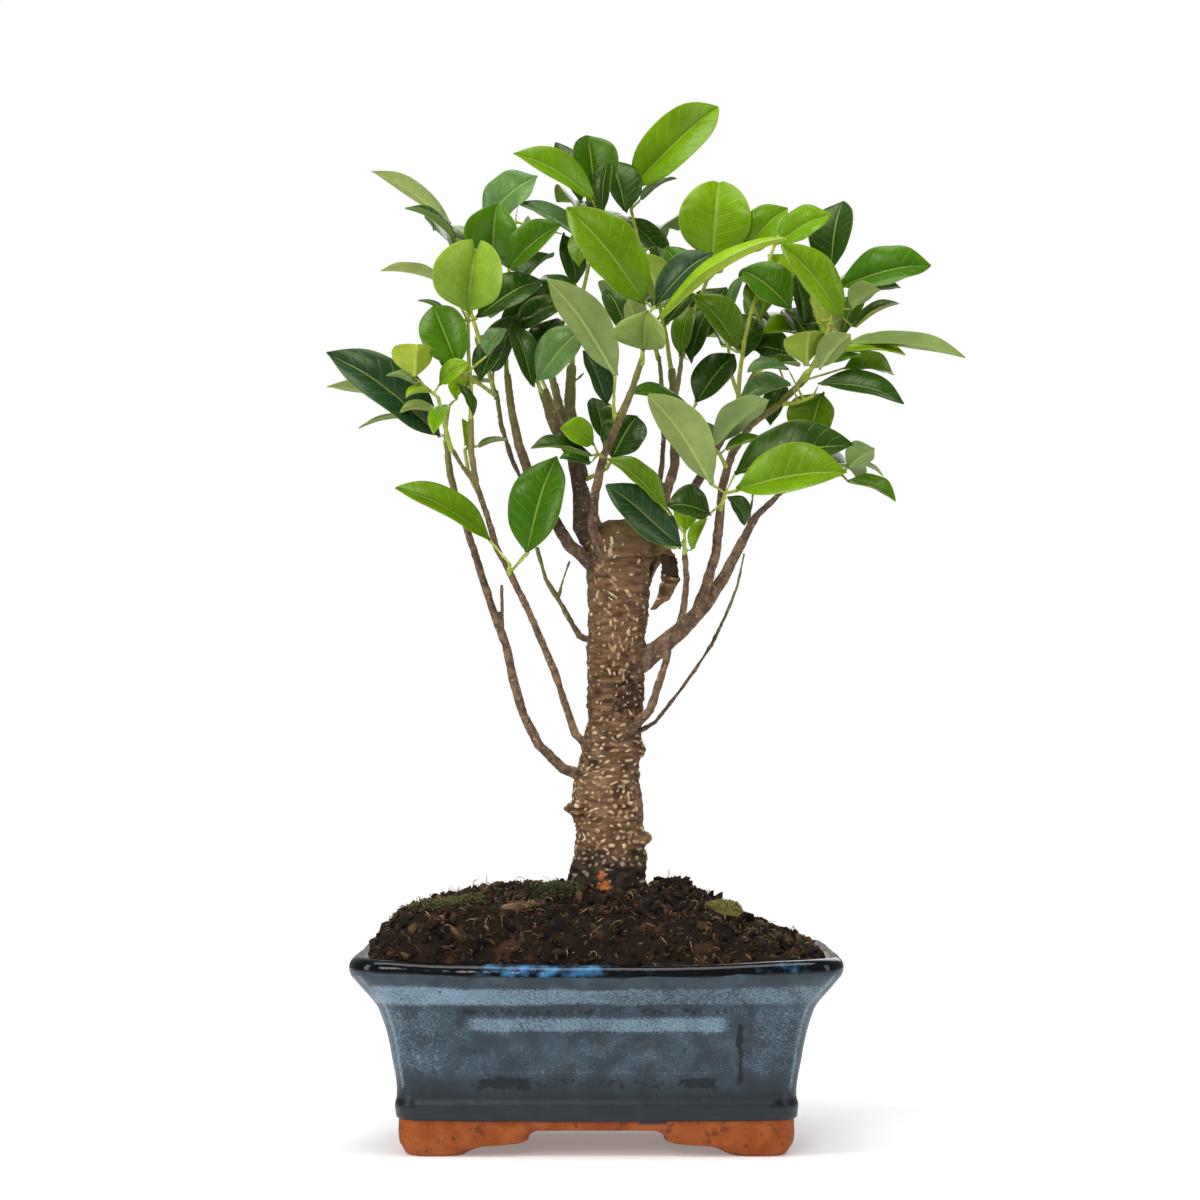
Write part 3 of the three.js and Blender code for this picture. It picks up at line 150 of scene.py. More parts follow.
# %% Nodes
def node(tree, kind, sockets=None, **settings):
    """A new shader node. A value for a socket is either a number or colour, or another node's output."""
    made = tree.nodes.new("ShaderNode" + kind)
    for name, value in settings.items():
        setattr(made, name, value)
    for name, value in (sockets or {}).items():
        if isinstance(value, bpy.types.NodeSocket):
            tree.links.new(value, made.inputs[name])
        else:
            made.inputs[name].default_value = value
    return made


def new_finish(name):
    """An empty material, its node tree, and coordinates in metres over the piece."""
    material = bpy.data.materials.new(name)
    material.use_nodes = True
    tree = material.node_tree
    tree.nodes.clear()
    return material, tree, node(tree, "TexCoord").outputs["Object"]


def colour(code):
    """Linear red, green, blue and alpha of a colour written the way paint charts do, such as #b05a28."""
    parts = [int(code[i : i + 2], 16) / 255 for i in (1, 3, 5)]
    linear = [p / 12.92 if p <= 0.04045 else ((p + 0.055) / 1.055) ** 2.4 for p in parts]
    return (*linear, 1)


def mixed(tree, share, first, second, blend="MIX"):
    """One colour, or a blend of two by share."""
    made = node(tree, "Mix", {"Factor": share}, data_type="RGBA", blend_type=blend)
    for socket, value in ((made.inputs[6], first), (made.inputs[7], second)):
        if isinstance(value, bpy.types.NodeSocket):
            tree.links.new(value, socket)
        else:
            socket.default_value = value
    return made.outputs[2]


def sums(tree, operation, first, second=0.5, third=0.5):
    """One step of arithmetic on numbers or outputs."""
    made = node(tree, "Math", {0: first, 1: second}, operation=operation)
    if isinstance(third, bpy.types.NodeSocket):
        tree.links.new(third, made.inputs[2])
    else:
        made.inputs[2].default_value = third
    return made.outputs[0]


def about_zero(tree, noise, strength):
    """Noise between 0 and 1, moved to swing evenly to both sides of zero."""
    return sums(tree, "MULTIPLY", sums(tree, "SUBTRACT", noise, 0.5), strength)


def ramp(tree, value, low, high, low_out=0.0, high_out=1.0):
    """Where value lies between low and high, eased at both ends."""
    sockets = {"Value": value, "From Min": low, "From Max": high, "To Min": low_out, "To Max": high_out}
    return node(tree, "MapRange", sockets, interpolation_type="SMOOTHSTEP").outputs[0]


def grain(tree, place, size, detail=3.0, distortion=0.0):
    """Noise from 0 to 1 with grains of about that many millimetres."""
    sockets = {"Vector": place, "Scale": 1 / (size * MM), "Detail": detail, "Distortion": distortion}
    return node(tree, "TexNoise", sockets).outputs[0]


def kept(tree, name):
    """A number that the mesh holds for each of its points."""
    return node(tree, "Attribute", attribute_name=name).outputs["Fac"]


def kept_colour(tree, name):
    return node(tree, "Attribute", attribute_name=name).outputs["Color"]


def relief(tree, height, depth, under=None):
    """A bumped normal. depth is in millimetres for a height from 0 to 1."""
    sockets = {"Height": height, "Distance": depth * MM, "Strength": 1.0}
    if under is not None:
        sockets["Normal"] = under
    return node(tree, "Bump", sockets).outputs[0]


def surface(tree, colour_in, roughness, normal=None, **plain):
    """A surface shader, wired to the material's output. Plain numbers stay on its own sockets."""
    sockets = {"Base Color": colour_in, "Roughness": roughness, **plain}
    if normal is not None:
        sockets["Normal"] = normal
    shader = node(tree, "BsdfPrincipled", sockets)
    node(tree, "OutputMaterial", {"Surface": shader.outputs[0]})
    return shader


# %% Relief, skins and pieces
def lumps(points, size, seed=0):
    """Smooth random numbers from -1 to 1 at the points, with lumps about size millimetres across."""
    scaled = points / size + 11.7 * seed
    cell = np.floor(scaled).astype(np.int64)
    part = scaled - cell
    ease = part * part * (3 - 2 * part)
    total = np.zeros(len(points))
    for corner in itertools.product((0, 1), repeat=3):
        at = cell + np.array(corner)
        mixed_up = at[:, 0] * 73856093 ^ at[:, 1] * 19349663 ^ at[:, 2] * 83492791 ^ (seed + 7) * 2654435761
        mixed_up = ((mixed_up ^ (mixed_up >> 13)) * 1274126177) & 0x7FFFFFFF
        weight = np.prod(np.where(corner, ease, 1 - ease), axis=1)
        total += weight * (mixed_up / 0x3FFFFFFF - 1)
    return total


def eased(value, low, high):
    """0 below low, 1 above high, and a smooth step between them."""
    share = np.clip((value - low) / (high - low), 0, 1)
    return share * share * (3 - 2 * share)


def lengths(vectors):
    return np.linalg.norm(vectors, axis=-1, keepdims=True)


def unit(vectors):
    return vectors / np.maximum(lengths(vectors), 1e-9)


def normals_of(points, quads):
    """The outward direction at each point of a mesh of squares."""
    across = points[quads[:, 2]] - points[quads[:, 0]]
    along = points[quads[:, 3]] - points[quads[:, 1]]
    facing = np.cross(across, along)
    total = np.zeros_like(points)
    for corner in range(4):
        for axis in range(3):
            total[:, axis] += np.bincount(quads[:, corner], facing[:, axis], len(points))
    return unit(total)


def even_skin(points, faces, voxel):
    """The points and squares of an even skin over closed meshes, which it also joins."""
    rough = bpy.data.meshes.new("rough")
    rough.from_pydata(np.asarray(points).tolist(), [], [list(map(int, face)) for face in faces])
    carrier = bpy.data.objects.new("rough", rough)
    scene.collection.objects.link(carrier)
    skin = carrier.modifiers.new("skin", "REMESH")
    skin.mode = "VOXEL"
    skin.voxel_size = voxel
    wrapped = carrier.evaluated_get(bpy.context.evaluated_depsgraph_get()).to_mesh()
    found = np.empty(len(wrapped.vertices) * 3)
    wrapped.vertices.foreach_get("co", found)
    corners = np.empty(len(wrapped.loops), np.int64)
    wrapped.loops.foreach_get("vertex_index", corners)
    bpy.data.objects.remove(carrier)
    bpy.data.meshes.remove(rough)
    return found.reshape(-1, 3), corners.reshape(-1, 4)


def relax(points, quads, rounds):
    """Smooths a skin. Each pull towards the neighbours is followed by a slightly stronger push back."""
    pairs = np.concatenate([quads[:, [i, (i + 1) % 4]] for i in range(4)])
    pairs = np.unique(np.sort(pairs, axis=1), axis=0)
    count = np.bincount(pairs.ravel(), minlength=len(points))[:, None]
    for step in range(2 * rounds):
        total = np.empty_like(points)
        for axis in range(3):
            total[:, axis] = np.bincount(pairs[:, 0], points[pairs[:, 1], axis], len(points))
            total[:, axis] += np.bincount(pairs[:, 1], points[pairs[:, 0], axis], len(points))
        points = points + (-0.52 if step % 2 else 0.5) * (total / count - points)
    return points


def measured(name):
    """Corners, in millimetres and each once, and triangles of a measured solid."""
    mesh = frame["nodes"][name].data
    corners = np.empty(len(mesh.vertices) * 3)
    mesh.vertices.foreach_get("co", corners)
    corners = corners.reshape(-1, 3) / MM
    triangles = np.empty(len(mesh.loops), np.int64)
    mesh.loops.foreach_get("vertex_index", triangles)
    fine = np.round(corners / 0.001).astype(np.int64)
    _, first, same = np.unique(fine, axis=0, return_index=True, return_inverse=True)
    return corners[first], same.reshape(-1)[triangles].reshape(-1, 3)


def tree_of(points, faces):
    """A search tree for the nearest point on a mesh."""
    return BVHTree.FromPolygons(np.asarray(points).tolist(), [list(map(int, face)) for face in faces])


def piece(name, points, faces, materials, paint=None, finish_of=None):
    """The finished piece that stands for the measured solid of that name.

    paint holds numbers or colours for each point, and finish_of says which material each face has.
    """
    mesh = bpy.data.meshes.new(name)
    mesh.from_pydata((np.asarray(points) * MM).tolist(), [], [list(map(int, face)) for face in faces])
    for material in materials:
        mesh.materials.append(material)
    if finish_of is not None:
        mesh.polygons.foreach_set("material_index", np.asarray(finish_of, np.int32))
    for label, values in (paint or {}).items():
        values = np.asarray(values, np.float32)
        if values.ndim == 1:
            mesh.attributes.new(label, "FLOAT", "POINT").data.foreach_set("value", values)
        else:
            full = np.column_stack([values, np.ones(len(values), np.float32)])
            mesh.attributes.new(label, "FLOAT_COLOR", "POINT").data.foreach_set("color", full.ravel())
    mesh.shade_smooth()
    made = bpy.data.objects.new("fine_" + name, mesh)
    scene.collection.objects.link(made)
    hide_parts(name)
    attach(made, "root")
    return made


def loft(rings):
    """Points and squares of a skin over rings of as many points each, and a fan at each end."""
    rings = np.asarray(rings)
    count = rings.shape[1]
    points = rings.reshape(-1, 3)
    level = np.arange(len(rings) - 1)[:, None] * count
    here = level + np.arange(count)
    beside = level + (np.arange(count) + 1) % count
    faces = np.stack([here, beside, beside + count, here + count], -1).reshape(-1, 4).tolist()
    faces.append(list(range(count))[::-1])
    faces.append(list(range(len(points) - count, len(points))))
    return points, faces


# %% [markdown]
# ## Floor
#
# The tree stands on a plain white sheet of card. It is a wide shallow disc, and a faint mottle in its
# roughness keeps it from looking like nothing at all.

# %% Floor
floor_mesh = bpy.data.meshes.new("floor")
FLOOR_RADIUS = 0.62
floor_turn = np.linspace(0, 2 * np.pi, 97)[:-1]
floor_rim = [(FLOOR_RADIUS * math.cos(a), FLOOR_RADIUS * math.sin(a), 0.0) for a in floor_turn]
floor_mesh.from_pydata(floor_rim, [], [list(range(len(floor_rim)))])
floor = bpy.data.objects.new("floor", floor_mesh)
scene.collection.objects.link(floor)

card, tree, place = new_finish("white_card")
glow = {"Emission Color": (1, 1, 1, 1), "Emission Strength": 0.22}
surface(tree, (0.9, 0.9, 0.9, 1), ramp(tree, grain(tree, place, 40), 0.3, 0.7, 0.75, 0.85), **glow)
floor_mesh.materials.append(card)
print("floor radius:", FLOOR_RADIUS)

# %% [markdown]
# ## Pot: body
#
# The real pot is pressed stoneware with a thick blue glaze. Its wall flares from a narrow ledge to a heavy
# rolled lip, and a low panel stands out of both long sides. The rim has sagged a little in the firing. The
# body is a loft: one profile is carried round a rounded rectangle, up the outside, over the lip and down
# the inside, so the glazed edge keeps one clean line all the way round. The floor and the underside are
# plates with two drain holes.


# %% Curves
def through(at, values, knots):
    """A smooth curve through one value for each knot."""
    values = np.asarray(values, float)
    slope = np.gradient(values, knots, axis=0)
    index = np.clip(np.searchsorted(knots, at, "right") - 1, 0, len(knots) - 2)
    gap = (knots[index + 1] - knots[index])[:, None]
    t = (at - knots[index])[:, None] / gap
    first = (2 * t**3 - 3 * t**2 + 1) * values[index] + (t**3 - 2 * t**2 + t) * gap * slope[index]
    return first + (3 * t**2 - 2 * t**3) * values[index + 1] + (t**3 - t**2) * gap * slope[index + 1]


def smooth_line(knots, step):
    """Points about step apart on a smooth line through the knots."""
    knots = np.asarray(knots, float)
    run = np.concatenate([[0], np.cumsum(lengths(np.diff(knots, axis=0))[:, 0])])
    return through(np.linspace(0, run[-1], int(run[-1] / step) + 2), knots, run)


def window(value, low, high, soft):
    """1 between low and high and 0 outside, with soft edges."""
    return eased(value, low - soft, low + soft) * (1 - eased(value, high - soft, high + soft))


# %% Pot outline
SIDE_DIFFERENCE = (pot_high - pot_low)[0] / 2 - (pot_high - pot_low)[1] / 2


def pot_ring(half_x, half_y, corner, along_x=88, along_y=60, round_corner=13):
    """Places round a rectangle with round corners, as many on every ring."""
    places = []
    for quarter, side_count in enumerate((along_x, along_y, along_x, along_y)):
        sign_x = 1 if quarter in (0, 3) else -1
        sign_y = 1 if quarter < 2 else -1
        angles = math.pi / 2 * (quarter + np.linspace(0, 1, round_corner))
        middle = np.array([sign_x * (half_x - corner), sign_y * (half_y - corner)])
        arc = middle + corner * np.column_stack([np.cos(angles), np.sin(angles)])
        turned_x = -sign_x if quarter in (0, 2) else sign_x
        turned_y = -sign_y if quarter in (1, 3) else sign_y
        after = np.array([turned_x * (half_x - corner), turned_y * (half_y - corner)])
        after += corner * np.array([math.cos(angles[-1]), math.sin(angles[-1])])
        share = np.linspace(0, 1, side_count + 2)[1:-1, None]
        places.append(np.concatenate([arc, arc[-1] + share * (after - arc[-1])]))
    return np.concatenate(places)


# Half width and height, from the underside up the outside, over the lip and down to the floor.
POT_PROFILE = [
    (59.2, 8.0),
    (59.9, 8.6),
    (60.1, 9.8),
    (60.2, 11.1),
    (60.8, 11.5),
    (61.3, 12.2),
    (61.5, 13.6),
    (61.7, 15.2),
    (61.6, 16.2),
    (61.2, 17.4),
    (61.1, 19.0),
    (61.4, 23.5),
    (62.4, 29.0),
    (63.3, 34.0),
    (64.4, 38.5),
    (65.8, 42.6),
    (66.7, 45.0),
    (68.7, 48.0),
    (71.1, 51.0),
    (73.0, 53.4),
    (74.5, 55.4),
    (75.0, 57.2),
    (74.9, 58.8),
    (74.3, 60.1),
    (73.3, 60.8),
    (72.2, 61.0),
    (71.0, 60.8),
    (70.2, 60.2),
    (69.7, 59.0),
    (68.9, 56.0),
    (65.0, 50.5),
    (61.9, 45.0),
    (60.4, 38.0),
    (57.4, 25.0),
    (55.4, 16.0),
    (54.6, 14.4),
    (53.4, 14.0),
]
profile = smooth_line(POT_PROFILE, 0.7)
lip_top = int(np.argmax(profile[:, 1]))
print("pot profile:", len(profile), "levels, lip top at level", lip_top)


# %% Pot wall
DRAIN_X, DRAIN_RADIUS = 30, 8
PANEL_LOW, PANEL_HIGH, PANEL_HALF, PANEL_RELIEF = 20, 43, 44, 1.25

rings = []
for level, (half, z) in enumerate(profile):
    corner = 7.5 + 3.5 * eased(z, 20, 58)
    inner = level > lip_top + 6
    ring = pot_ring(half, half - SIDE_DIFFERENCE, corner - (3.5 if inner else 0))
    rings.append(np.column_stack([ring, np.full(len(ring), z)]))
wall = np.array(rings)
outside = np.zeros(wall.shape[:2], bool)
outside[: lip_top + 3] = True

# The face of each long side stands out in a panel, and pulls in over it and along a line above it.
x, y, z = (wall[..., axis] for axis in range(3))
half = profile[:, 0:1] - SIDE_DIFFERENCE
long_face = eased(np.abs(y) / half, 0.93, 0.99) * outside
panel_edge = PANEL_HALF - 7 * (1 - eased(z, PANEL_LOW, PANEL_HIGH)) * (x < 0)
panel = eased(panel_edge - np.abs(x), -0.9, 0.9)
panel *= eased(z, PANEL_LOW, PANEL_LOW + 5) * (1 - eased(z, PANEL_HIGH - 4.5, PANEL_HIGH + 0.3))
groove = window(z, 43.6, 45.8, 0.9) * eased(60 - np.abs(x), 0, 8)
wall[..., 1] += np.sign(y) * long_face * (PANEL_RELIEF * panel - 0.45 * groove)
short_face = eased(np.abs(x) / profile[:, 0:1], 0.95, 0.99) * outside
wall[..., 0] -= np.sign(x) * short_face * 0.3 * groove

# The rim and the glaze line sag in the middle of the long sides, and nothing thrown is quite even.
bow = 1 - (wall[..., 0] / 75) ** 2
wall[..., 2] -= 2.2 * eased(z, 44, 57) * bow * eased(np.abs(y), 20, 45)
wall[..., 2] -= 1.1 * window(z, 11.5, 14, 1.0) * bow * outside
places = wall.reshape(-1, 3)
drift = 0.28 * lumps(places, 24, 1) + 0.1 * lumps(places, 7, 2)
places[:, :2] *= (1 + drift / 65)[:, None]
places[:, 2] += 0.25 * lumps(places * [1, 1, 0.3], 17, 4) * eased(places[:, 2], 20, 50)
wall = places.reshape(wall.shape)
print("pot wall:", wall.shape[0] * wall.shape[1], "points")


# %% Pot floor and underside
def drilled_plate(rim, height, holes_at, radius):
    """Points and triangles of a level plate inside a rim of points, with round holes in it."""
    angles = np.linspace(0, 2 * math.pi, 40, endpoint=False)
    circle = radius * np.column_stack([np.cos(angles), np.sin(angles)])
    holes = [circle + [at, 0] for at in holes_at]
    grid = np.stack(np.meshgrid(np.arange(-48, 49, 4.0), np.arange(-30, 31, 4.0)), -1).reshape(-1, 2)
    away = np.min([lengths(grid - [at, 0])[:, 0] for at in holes_at], axis=0)
    inside = (np.abs(grid) < np.abs(rim[:, :2]).max(axis=0) - 5).all(axis=1)
    grid = grid[(away > radius + 2) & inside]
    flat = np.concatenate([rim[:, :2], *holes, grid])
    bounds = [[i, (i + 1) % len(rim)] for i in range(len(rim))]
    start = len(rim)
    for hole in holes:
        bounds += [[start + i, start + (i + 1) % len(hole)] for i in range(len(hole))]
        start += len(hole)
    found = geometry.delaunay_2d_cdt([Vector(p) for p in flat], bounds, [], 0, 1e-5)
    points = np.column_stack([np.array(found[0]), np.full(len(found[0]), height)])
    points[: len(rim)] = rim
    middles = np.array([points[face, :2].mean(axis=0) for face in found[2]])
    away = np.min([lengths(middles - [at, 0])[:, 0] for at in holes_at], axis=0)
    kept_faces = [face for face, far in zip(found[2], away) if far > radius * 0.985]
    return points, kept_faces


count = wall.shape[1]
points = wall.reshape(-1, 3)
level = np.arange(len(wall) - 1)[:, None] * count
here, beside = level + np.arange(count), level + (np.arange(count) + 1) % count
faces = np.stack([here, beside, beside + count, here + count], -1).reshape(-1, 4).tolist()

hole_count = 40
plate_starts = []
for rim_start, height, upwards in ((0, 8.0, False), (len(points) - count, 14.0, True)):
    rim = points[rim_start : rim_start + count]
    plate, triangles = drilled_plate(rim, height, (-DRAIN_X, DRAIN_X), DRAIN_RADIUS)
    start = len(points)
    plate_starts.append(start)
    points = np.concatenate([points, plate[count:]])
    renumber = np.concatenate([rim_start + np.arange(count), start + np.arange(len(plate) - count)])
    for face in triangles:
        a, b, c = plate[face[0]], plate[face[1]], plate[face[2]]
        turned = (np.cross(b - a, c - a)[2] > 0) == upwards
        faces.append([int(renumber[i]) for i in (face if turned else face[::-1])])
for hole in range(2):
    for i in range(hole_count):
        j = (i + 1) % hole_count
        low, high = (start + hole * hole_count for start in plate_starts)
        faces.append([low + j, low + i, high + i, high + j])
body_points, body_faces = points, faces
print("pot body:", len(body_points), "points")

# %% Feet
# Height, and how far a foot reaches outwards and inwards along the front and along the side.
FOOT_PROFILE = [
    (0.0, 57.0, 41.0, 38.0, 25.8),
    (0.35, 57.9, 40.0, 38.9, 24.8),
    (1.6, 58.8, 37.6, 39.8, 22.7),
    (2.7, 59.4, 34.2, 40.4, 20.2),
    (3.3, 59.8, 28.5, 40.8, 16.5),
    (3.9, 60.0, 22.4, 41.0, 12.9),
    (4.6, 60.2, 20.9, 41.2, 12.0),
    (5.8, 60.3, 20.6, 41.3, 11.7),
    (6.7, 60.35, 19.6, 41.35, 10.8),
    (7.6, 60.4, 17.8, 41.4, 9.0),
    (8.6, 60.4, 16.6, 41.4, 7.9),
    (10.0, 60.4, 16.2, 41.4, 7.5),
    (11.2, 60.3, 16.0, 41.3, 7.3),
]
foot_levels = smooth_line([(z * 4, *rest) for z, *rest in FOOT_PROFILE], 1.3)
foot_levels[:, 0] /= 4
rings = []
for z, out_x, in_x, out_y, in_y in foot_levels:
    half_x, half_y = (out_x - in_x) / 2, (out_y - in_y) / 2
    ring = pot_ring(half_x, half_y, min(7.2, half_x, half_y) - 0.2, 30, 24, 8)
    ring += [(out_x + in_x) / 2, (out_y + in_y) / 2]
    rings.append(np.column_stack([ring, np.full(len(ring), max(z, 0))]))
foot_points, foot_faces = loft(rings)
feet_points, feet_faces = [], []
for sign_x, sign_y in itertools.product((1, -1), repeat=2):
    moved = foot_points * [sign_x, sign_y, 1]
    rough = 0.16 * lumps(moved, 5, 8) + 0.07 * lumps(moved, 1.6, 9)
    moved[:, :2] += (unit(moved[:, :2]) * rough[:, None]) * eased(moved[:, 2:], 0.0, 0.8)
    start = len(feet_points) * len(moved)
    turned = sign_x * sign_y < 0
    feet_faces += [[i + start for i in (face[::-1] if turned else face)] for face in foot_faces]
    feet_points.append(moved)
feet_points = np.concatenate(feet_points)
print("feet:", len(feet_points), "points")

# %% [markdown]
# ## Pot: glaze
#
# Thick glaze is darkest and glossiest where it pools, and breaks to milky light blue where it runs thin over
# an edge. So the paint follows the shape: `pale` marks the band under the lip, the top of the panel
# and the corners, `pool` marks the groove, the foot of the panel and the ledge, and `lip` marks the
# black roll of the rim. The material then breaks these soft marks up with fine noise, because a glaze
# never ends in a straight line. Where the potter wiped the glaze off, on the rim's inner edge and the
# feet, the clay stays bare.

# %% Glaze marks
x, y, z = body_points.T
glazed = np.zeros(len(body_points), bool)
glazed[: (lip_top + 2) * count] = True
glazed &= z + 1.1 * (1 - (x / 75) ** 2) > 11.6 + 0.25 * lumps(body_points, 6, 5)
front = eased(np.abs(y), 30, 38)
bowed = z + 2.2 * (1 - (x / 75) ** 2) * eased(z, 44, 57) * front  # height as if the rim hadn't sagged
swing = lumps(body_points * [1, 1, 2], 9, 6)

band = window(bowed + 0.6 * swing, 46.6, 53.2, 1.0) * (0.62 + 0.3 * eased(-x, -40, 50))
band = band * eased(71 - np.abs(x), 0, 5)
bevel = window(bowed + 0.3 * swing, 38.2, 42.8, 1.1) * eased(43 - np.abs(x), -1, 7) * front
sill = 0.5 * window(z + 0.3 * swing, 25.2, 26.6, 0.6) * eased(40 - np.abs(x), -1, 5) * front
bevel = np.maximum(bevel, sill)
spread = window(bowed, 24, 47, 4) * (0.26 + 0.16 * eased(np.abs(x), 44, 50))
rings_needed = len(body_points) // count + 1
ring_at = np.tile(pot_ring(60, 60 - SIDE_DIFFERENCE, 9), (rings_needed, 1))[: len(body_points)]
off_corner = np.minimum(60 - np.abs(ring_at[:, 0]), (60 - SIDE_DIFFERENCE) - np.abs(ring_at[:, 1]))
corner_line = eased(off_corner, 1.2, 2.6) * window(bowed, 20, 56.5, 1.5) * 0.85
pale = np.maximum.reduce([band, bevel * 0.85, spread, corner_line]) * glazed

groove_mark = window(bowed, 43.5, 45.6, 0.5) * window(x, -47, 42, 3) * front
right_mark = window(x, 42.3, 44.6, 0.6) * window(z, 22, 41, 1) * front * 0.9
slant = x + 36 + (z - 22) * 0.45
left_mark = window(-slant, 0, 6, 2) * window(z, 20, 41, 2) * front * 0.35
ends = eased(np.abs(x + 28), 12, 0) + 0.7 * eased(np.abs(x - 32), 9, 0) + 0.55
under_mark = window(z + 0.8 * swing, 20.2, 24.5, 1.2) * eased(38 - np.abs(x), 0, 2) * front
under_mark = under_mark * np.clip(ends, 0, 1) * 0.9
ledge_mark = window(z, 15.0, 17.6, 0.6) * eased(np.abs(x), 50, 56) * 0.95
pool = np.maximum.reduce([groove_mark * 0.6, right_mark, left_mark, under_mark, ledge_mark]) * glazed

lip_mark = eased(bowed + 0.5 * swing, 56.6, 58.2) * glazed
blue_run = lip_mark * window(x + 6 * swing, -30, 8, 9) * eased(-y, 30, 40)
blue_run = np.maximum(blue_run, lip_mark * 0.4 * eased(lumps(body_points, 13, 12), 0.1, 0.5))
inner_edge = (z > 50) & ~glazed
clay = 1.0 - glazed
marks = {
    "pale": pale,
    "pool": pool,
    "lip": lip_mark,
    "blue_run": blue_run,
    "clay": clay,
    "washed": inner_edge.astype(float),
    "low": 1 - eased(z, 17, 27),
}
feet_marks = {label: np.zeros(len(feet_points)) for label in marks}
feet_marks["clay"] += 1.0

# %% Glaze finish
glaze_finish, tree, place = new_finish("blue_glaze")
fine = grain(tree, place, 0.7, 4)
cloud = grain(tree, place, 9, 4, 0.6)
speck = grain(tree, place, 1.6, 6)
pale_here = sums(tree, "ADD", kept(tree, "pale"), about_zero(tree, cloud, 0.55))
pale_here = sums(tree, "ADD", pale_here, sums(tree, "MULTIPLY", sums(tree, "SUBTRACT", fine, 0.5), 1.5))
pale_here = ramp(tree, pale_here, 0.25, 1.3)
glaze = mixed(tree, ramp(tree, cloud, 0.35, 0.65), colour("#27333d"), colour("#354652"))
glaze = mixed(tree, ramp(tree, grain(tree, place, 4, 5), 0.5, 0.68, 0, 0.55), glaze, colour("#2c3035"))
glaze = mixed(tree, sums(tree, "MULTIPLY", kept(tree, "low"), 0.8), glaze, colour("#1b1d20"))
glaze = mixed(tree, sums(tree, "MULTIPLY", pale_here, 0.8), glaze, colour("#86a3b4"))
dark_here = sums(tree, "ADD", kept(tree, "pool"), about_zero(tree, speck, 1.6))
dark_here = ramp(tree, dark_here, 0.45, 0.8)
pits = ramp(tree, grain(tree, place, 2.6, 3), 0.71, 0.75, 0, 0.8)
dark_here = sums(tree, "MULTIPLY", dark_here, ramp(tree, kept(tree, "pool"), 0.05, 0.3))
dark_here = sums(tree, "MAXIMUM", dark_here, pits)
glaze = mixed(tree, sums(tree, "MULTIPLY", dark_here, 0.88), glaze, colour("#060b12"))
lip_here = sums(tree, "ADD", kept(tree, "lip"), about_zero(tree, speck, 0.5))
lip_here = ramp(tree, lip_here, 0.4, 0.6)
run_noise = sums(tree, "SUBTRACT", grain(tree, place, 4, 3), 0.5)
run = sums(tree, "ADD", kept(tree, "blue_run"), sums(tree, "MULTIPLY", run_noise, 3.2))
run = sums(tree, "MULTIPLY", ramp(tree, run, 0.35, 2.1), ramp(tree, kept(tree, "blue_run"), 0.02, 0.2))
lip_colour = mixed(tree, run, colour("#010306"), colour("#4684b2"))
glaze = mixed(tree, lip_here, glaze, lip_colour)

clay_fine = grain(tree, place, 0.5, 5)
clay_cloud = grain(tree, place, 7, 5, 0.4)
bare = mixed(tree, ramp(tree, clay_cloud, 0.35, 0.65), colour("#9c5226"), colour("#874016"))
bare = mixed(tree, ramp(tree, grain(tree, place, 3.1, 6), 0.56, 0.72, 0, 0.75), bare, colour("#552a14"))
bare = mixed(tree, ramp(tree, clay_fine, 0.62, 0.75, 0, 0.6), bare, colour("#c98a5a"))
washed = mixed(tree, ramp(tree, clay_cloud, 0.3, 0.7), colour("#a39b8d"), colour("#cfc8bb"))
bare = mixed(tree, kept(tree, "washed"), bare, washed)
clay_here = kept(tree, "clay")
pot_colour = mixed(tree, clay_here, glaze, bare)
seam = ramp(tree, clay_here, 0.02, 0.3)
seam = sums(tree, "MULTIPLY", seam, ramp(tree, clay_here, 0.98, 0.7))
pot_colour = mixed(tree, sums(tree, "MULTIPLY", seam, 0.55), pot_colour, colour("#4c3a30"))

glaze_rough = ramp(tree, fine, 0.3, 0.7, 0.3, 0.42)
glaze_rough = sums(tree, "SUBTRACT", glaze_rough, sums(tree, "MULTIPLY", lip_here, 0.27))
clay_rough = ramp(tree, clay_fine, 0.3, 0.7, 0.72, 0.92)
rough_mix = node(tree, "Mix", {"Factor": clay_here, 2: glaze_rough, 3: clay_rough}, data_type="FLOAT")
rough_mix = rough_mix.outputs[0]
ripple = relief(tree, grain(tree, place, 5, 2), 0.16)
satin = sums(tree, "MULTIPLY", fine, sums(tree, "SUBTRACT", 1.0, lip_here))
pot_bump = relief(tree, satin, 0.06, ripple)
pot_bump = relief(tree, sums(tree, "MULTIPLY", clay_fine, clay_here), 0.25, pot_bump)
surface(tree, pot_colour, rough_mix, pot_bump, **{"Specular IOR Level": 0.28})

# %% Pot
pot_points = np.concatenate([body_points, feet_points]) + [pot_middle[0], pot_middle[1], 0]
start = len(body_points)
pot_faces = body_faces + [[i + start for i in face] for face in feet_faces]
pot_marks = {label: np.concatenate([marks[label], feet_marks[label]]) for label in marks}
piece("pot", pot_points, pot_faces, [glaze_finish], pot_marks)
print("pot:", len(pot_faces), "faces")

# %% [markdown]
# ## Drain screens
#
# A square of black plastic net lies over each drain hole and keeps the soil in. It is laid as it is
# moulded: ribs that cross, with small bevels along them.


